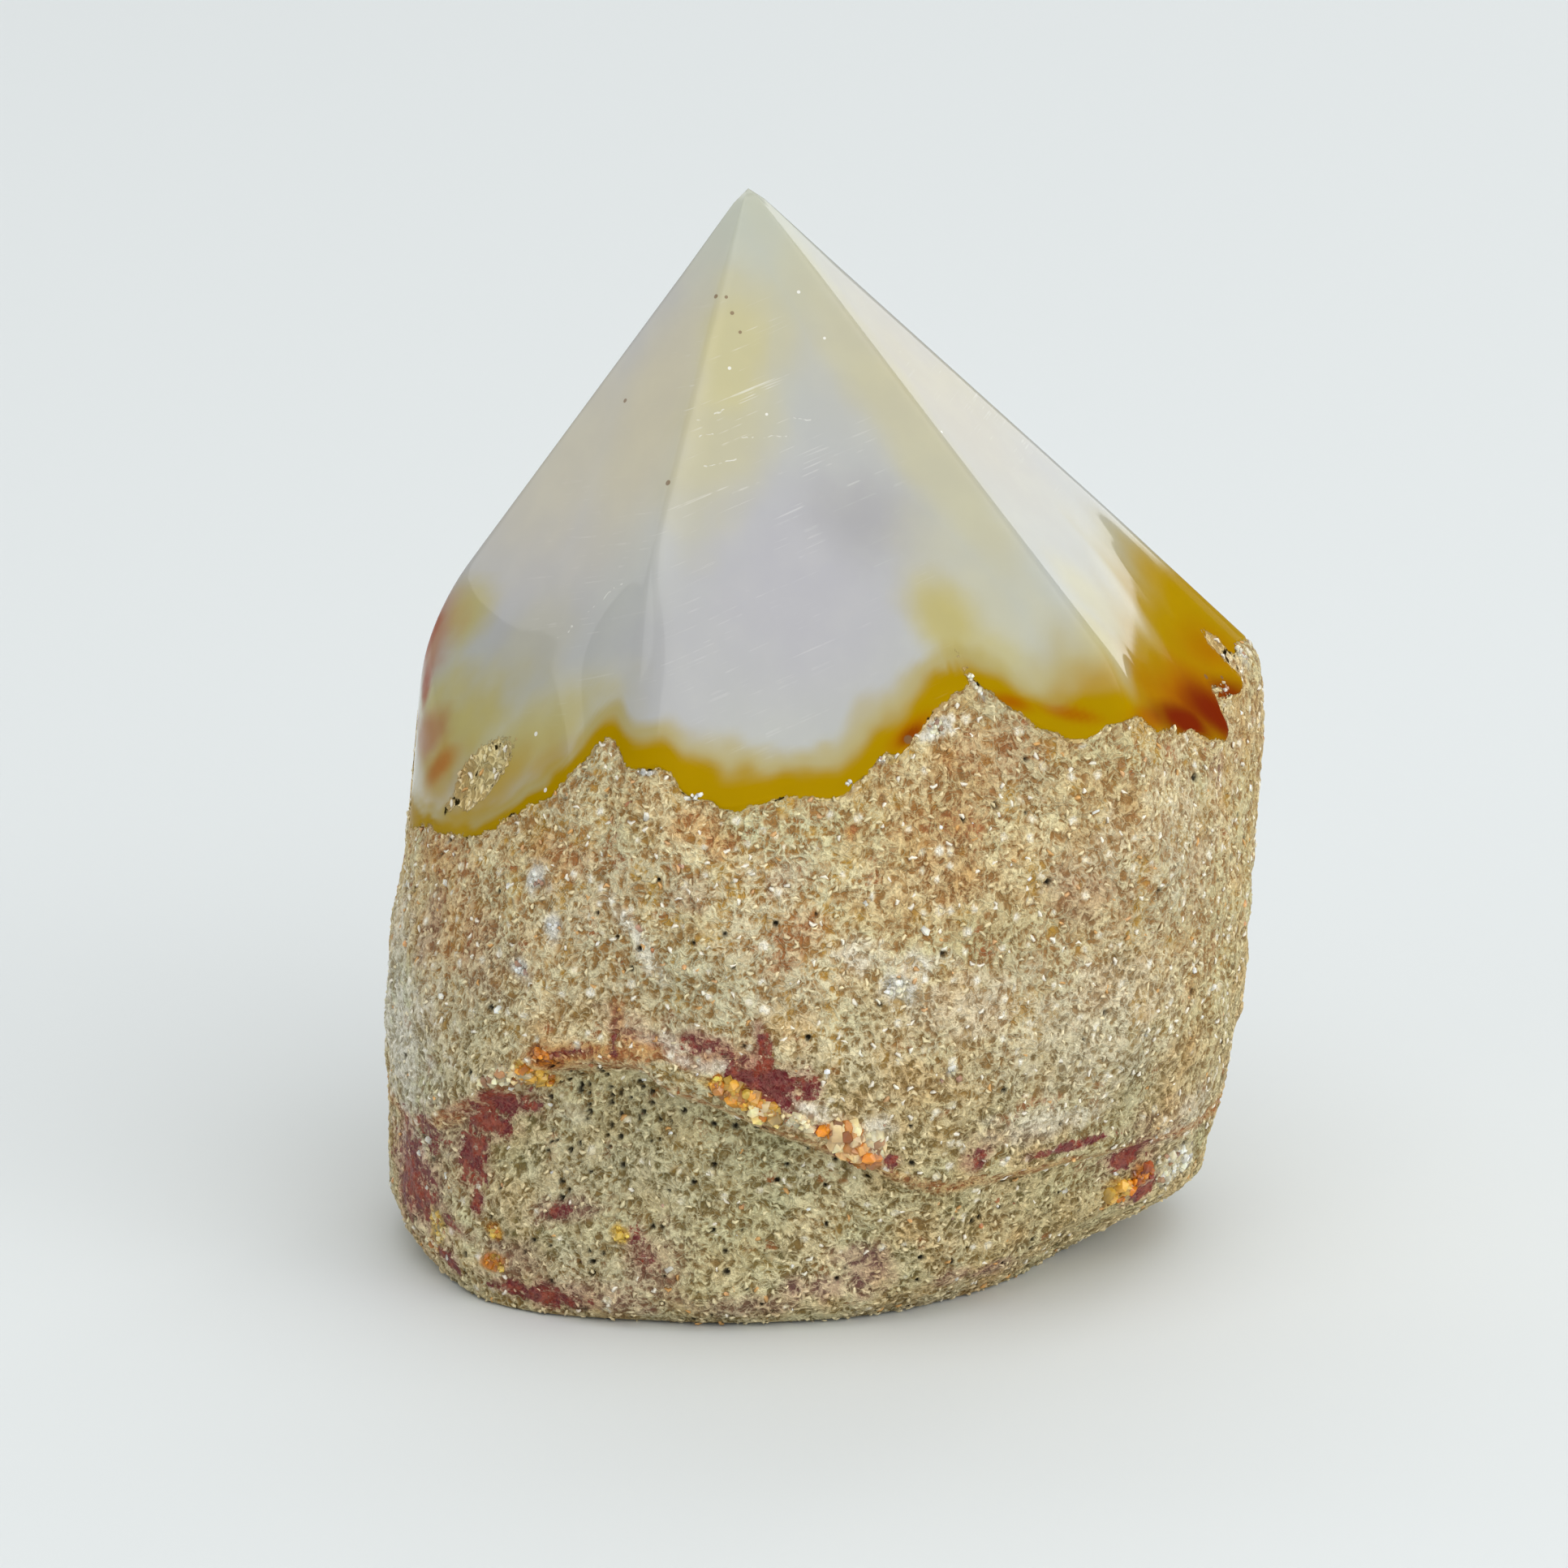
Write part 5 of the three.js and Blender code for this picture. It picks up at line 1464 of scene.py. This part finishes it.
# masks of the marks in the polish: spots, scratches, and hairlines where it is brushed
def markMasks(tree, spot, scratch, point):
    finish, masks = stoneFinish, {}
    for key in ("dark", "pale"):
        masks[key] = strongest(tree, [
            useGroup(tree, spot, {"Point": point, "Centre": surfacePoint(at, level), "Radius": size})[0]
            for at, level, size in polishMarks[key + "Spots"]
        ])
    masks["scored"] = strongest(tree, [
        useGroup(tree, scratch, {
            "Point": point, "From": surfacePoint(at, level), "To": surfacePoint(end, rise), "Width": width,
        })[0]
        for at, level, end, rise, width in polishMarks["scratches"]
    ])
    turned = {"Vector": point, "Axis": (0, 1, 0), "Angle": finish["hairlineTurn"]}
    slanted = addNode(tree, "VectorRotate", turned).outputs[0]
    across = vectorMaths(tree, "MULTIPLY", {0: slanted, 1: finish["hairlineStretch"]})
    lines = ease(tree, noise(tree, across, 1.0, 1.0), *finish["hairlineFade"])
    scale, *fade = finish["hairlinePatches"]
    lines = times(tree, lines, ease(tree, noise(tree, point, scale, 1.0), *fade))
    masks["hairlines"] = times(tree, lines, attribute(tree, "brushed"))
    return masks


# the whole stone: cloudy polish with its marks, the skin of the islands, grainy with holes and glossy maroon
# where it is bare, and the matt sawn foot
def stoneMaterial(grain, spot, scratch, curls):
    finish, heights, rough = stoneFinish, stoneFinish["heights"], stoneFinish["roughness"]
    material, tree, shader = newMaterial("agateStone", finish["shader"])
    point = pointInMm(tree)

    scale, wander, *fade = finish["skinEdge"]
    broken = times(tree, maths(tree, "SUBTRACT", noise(tree, point, scale, 3.0, 0.6), 0.5), wander)
    polish = ease(tree, plus(tree, attribute(tree, "aboveSkin"), broken), *fade)

    scale, *fade = finish["clouds"]
    veil = blend(tree, ease(tree, noise(tree, point, scale, 3.0, 0.5), *fade), *finish["veils"])
    colour = blend(tree, 1.0, attribute(tree, "polishTint", "Color"), veil, "MULTIPLY")
    masks = markMasks(tree, spot, scratch, point)
    for mask, strength, shade in polishMarks["layers"]:
        colour = blend(tree, times(tree, masks[mask], strength), colour, solid(polishMarks[shade]))

    fine = useGroup(tree, curls, {"Point": point, **finish["curls"]})["Mask"]
    # holes: small pits, sunk by the bump and painted dark as shade inside them
    scale, *fade = finish["holes"]
    holes = ease(tree, noise(tree, point, scale, 2.0, 0.4), *fade)
    shaded = blend(tree, fine, *finish["curlTints"])
    skinTint = blend(tree, 1.0, attribute(tree, "skinTint", "Color"), shaded, "MULTIPLY")
    skinTint = blend(tree, holes, skinTint, solid(skinLook["pit"]))
    grainy = useGroup(tree, grain, {"Color": skinTint, "Point": point, **finish["grain"]})
    bare = bareness(tree, point)
    glossy = useGroup(tree, grain, {"Color": solid(skinLook["wine"]), "Point": point, **finish["bareGrain"]})
    skin = blend(tree, bare, grainy["Color"], glossy["Color"])
    tree.links.new(blend(tree, polish, skin, colour), shader.inputs["Base Color"])

    scale, low, high, smudged = finish["smudges"]
    smudge = times(tree, ease(tree, noise(tree, point, scale, 3.0), low, high), smudged)
    smooth = plus(tree, plus(tree, rough["polish"], smudge), times(tree, masks["scored"], rough["scored"]))
    smooth = plus(tree, smooth, times(tree, attribute(tree, "sawn"), rough["sawn"]))
    matt = plus(tree, rough["skin"], times(tree, bare, rough["bare"]))
    mixed = maths(tree, "MULTIPLY_ADD", polish, maths(tree, "SUBTRACT", smooth, matt), matt)
    tree.links.new(mixed, shader.inputs["Roughness"])
    tree.links.new(times(tree, polish, attribute(tree, "shine")), shader.inputs["Coat Weight"])

    rock = times(tree, grainy["Height"], heights["grain"])
    curled = times(tree, fine, heights["curls"])
    rock = plus(tree, rock, maths(tree, "MULTIPLY_ADD", holes, heights["holes"], curled))
    wave = addNode(tree, "TexWave", {"Vector": point, **finish["sawMarks"]}).outputs["Fac"]
    sawMarks = times(tree, times(tree, wave, attribute(tree, "sawn")), heights["sawMarks"])
    worked = plus(tree, times(tree, masks["scored"], heights["scored"]), sawMarks)
    addBump(tree, shader, maths(tree, "MULTIPLY_ADD", polish, maths(tree, "SUBTRACT", worked, rock), rock))
    return material


crustFinish = {
    "fine": {"Size": 0.78, "Width": 0.09}, "finer": {"Size": 0.40, "Width": 0.10},
    "shares": {"curl": 0.55, "fine": 0.42, "finer": 0.26}, "curlFade": (0.02, 0.95),
    "grain": {"Size": 0.24, "Strength": 0.42}, "bareGrain": {"Size": 0.35, "Strength": 0.7},
    "warmth": (0.7, 0.44, 0.60),       # noise scale and fade from wine to scarlet
    "pinkCurls": 0.16,
    "roughness": (0.62, -0.30),        # and what the bare patches add
    "heights": {"fine": 0.075, "finer": 0.6, "bare": -0.6, "grain": 0.05},     # mm, share, share, mm
}


# crust: curls over hollows, a coarse set from the mesh and a fine set from noise, and bare glossy maroon
def crustMaterial(grain, curls):
    finish, shares, heights = crustFinish, crustFinish["shares"], crustFinish["heights"]
    material, tree, shader = newMaterial("sugaryCrust", {"IOR": 1.3})
    look, point = skinLook, pointInMm(tree)
    fine = useGroup(tree, curls, {"Point": point, **finish["fine"]})["Mask"]
    finer = useGroup(tree, curls, {"Point": point, **finish["finer"]})["Mask"]
    share = times(tree, attribute(tree, "curl"), shares["curl"])
    share = plus(tree, share, times(tree, fine, shares["fine"]))
    share = plus(tree, share, times(tree, finer, shares["finer"]))
    up = ease(tree, share, *finish["curlFade"])
    colour = blend(tree, up, attribute(tree, "hollowTint", "Color"), attribute(tree, "curlTint", "Color"))
    grainy = useGroup(tree, grain, {"Color": colour, "Point": point, **finish["grain"]})
    bare = bareness(tree, point)
    scale, *fade = finish["warmth"]
    warmth = ease(tree, noise(tree, point, scale, 3.0, 0.6), *fade)
    warm = blend(tree, warmth, solid(look["wine"]), solid(look["scarlet"]))
    curled = times(tree, maths(tree, "MAXIMUM", finer, fine), finish["pinkCurls"])
    flecked = blend(tree, curled, warm, solid(look["pink"]))
    glossy = useGroup(tree, grain, {"Color": flecked, "Point": point, **finish["bareGrain"]})
    tree.links.new(blend(tree, bare, grainy["Color"], glossy["Color"]), shader.inputs["Base Color"])
    matt, gloss = finish["roughness"]
    tree.links.new(plus(tree, matt, times(tree, bare, gloss)), shader.inputs["Roughness"])
    relief = times(tree, plus(tree, fine, times(tree, finer, heights["finer"])), heights["fine"])
    relief = times(tree, relief, maths(tree, "MULTIPLY_ADD", bare, heights["bare"], 1.0))
    addBump(tree, shader, maths(tree, "MULTIPLY_ADD", grainy["Height"], heights["grain"], relief))
    return material


# grains and crystals: their own colours, mottled
def grainMaterial(name, grain, mottling, constants):
    material, tree, shader = newMaterial(name, constants)
    inputs = {"Color": attribute(tree, "grainTint", "Color"), "Point": pointInMm(tree), **mottling}
    mottled = useGroup(tree, grain, inputs)
    tree.links.new(mottled["Color"], shader.inputs["Base Color"])
    addBump(tree, shader, mottled["Height"], 0.02 * mm)
    return material


def makeMaterials():
    grain, spot, scratch, curls = grainGroup(), spotGroup(), scratchGroup(), curlGroup()
    glint = {"Roughness": 0.45, "IOR": 1.54}
    clear = {"Roughness": 0.16, "IOR": 1.54, "Subsurface Weight": 0.35, "Subsurface Scale": 0.0008,
             "Subsurface Radius": (1.0, 0.75, 0.4)}
    return {
        "stone": stoneMaterial(grain, spot, scratch, curls),
        "crust": crustMaterial(grain, curls),
        "grains": grainMaterial("sugaryGrains", grain, {"Size": 0.35, "Strength": 0.35}, glint),
        "crystals": grainMaterial("quartzCrystals", grain, {"Size": 0.6, "Strength": 0.3}, clear),
    }


# Camera, floor and lights

roomLook = {
    "cameraPlace": (-0.00288, -0.43257, 0.15707), "cameraTilt": 74, "cameraLens": 146.85,
    "floor": tint(226, 230, 230), "floorShader": {"Roughness": 0.6, "Specular IOR Level": 0.3},
    "floorHalf": 4.0, "floorDrop": 0.00005,
    "air": tint(236, 240, 242), "airStrength": 0.42,
    # soft panels: towards which they stand from the stone, distance, width, height, brightness
    "panels": {
        "windowPanel": ((0.528, 0.782, 0.334), 0.9, 0.135, 0.455, 1.5),
        "rightPanel": ((1.0, -0.25, 0.20), 0.8, 0.8, 0.3, 1.9),
        "ceilingPanel": ((0.25, -0.45, 1.0), 1.2, 1.7, 1.7, 1.15),
        "frontRightPanel": ((0.6, -0.8, 0.4), 1.2, 1.2, 0.8, 1.25),
        "frontLeftPanel": ((-0.8, -0.7, 0.3), 1.2, 1.0, 0.8, 0.9),
        "leftPanel": ((-0.86, 0.35, 0.48), 1.0, 0.6, 0.3, 0.8),
        "backPanel": ((0.0, 1.0, 0.85), 1.7, 2.4, 1.2, 1.15),
    },
    "backAim": (0.0, 1.3, 0.0),      # the back panel lights the floor there
}


def makeRoom():
    look = roomLook
    scene = bpy.context.scene
    camera = bpy.data.objects.new("camera", bpy.data.cameras.new("camera"))
    camera.location = look["cameraPlace"]
    camera.rotation_euler = (radians(look["cameraTilt"]), 0, 0)
    camera.data.lens = look["cameraLens"]
    scene.collection.objects.link(camera)
    scene.camera = camera

    half, low = look["floorHalf"], -look["floorDrop"]
    corners = [(-half, -half, low), (half, -half, low), (half, half, low), (-half, half, low)]
    mesh = bpy.data.meshes.new("floor")
    mesh.from_pydata(corners, [], [(0, 1, 2, 3)])
    floor = bpy.data.objects.new("floor", mesh)
    scene.collection.objects.link(floor)
    material, tree, shader = newMaterial("paleFloor", look["floorShader"])
    shader.inputs["Base Color"].default_value = solid(look["floor"])
    mesh.materials.append(material)

    world = bpy.data.worlds.new("room")
    world.use_nodes = True
    air = world.node_tree.nodes["Background"]
    air.inputs["Color"].default_value = solid(look["air"])
    air.inputs["Strength"].default_value = look["airStrength"]
    scene.world = world
    scene.view_settings.view_transform = "Standard"

    middle = Vector((0, 0, tipHeight * mm / 2))
    for name, (towards, distance, width, height, brightness) in look["panels"].items():
        light = bpy.data.lights.new(name, "AREA")
        light.shape = "RECTANGLE"
        light.size, light.size_y = width, height
        light.energy = brightness * pi * width * height
        panel = bpy.data.objects.new(name, light)
        away = Vector(towards).normalized()
        panel.location = middle + away * distance
        if name == "backPanel":
            away = panel.location - Vector(look["backAim"])
        panel.rotation_euler = away.to_track_quat("Z", "Y").to_euler()
        panel.visible_camera = False
        scene.collection.objects.link(panel)


# Build

makeRoom()
print("camera, floor and lights made")

materials = makeMaterials()
print("materials made")


# what every finished piece needs: its material and the body that it rides on
def finishPiece(piece, material):
    piece.data.materials.append(material)
    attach(piece, "root")


stone = makeStone()
finishPiece(stone, materials["stone"])
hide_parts("agate")
print("stone made:", len(stone.data.polygons), "triangles")

for name, middle in crustForm["quarters"].items():
    finishPiece(makeCrust(name, middle), materials["crust"])
print("crust made")

for grains in makeGrains():
    finishPiece(grains, materials["grains"])
print("grains made")

crystals = makeCrystals()
finishPiece(crystals, materials["crystals"])
print("crystals made:", len(crystals.data.polygons), "triangles")


print("all pieces made")
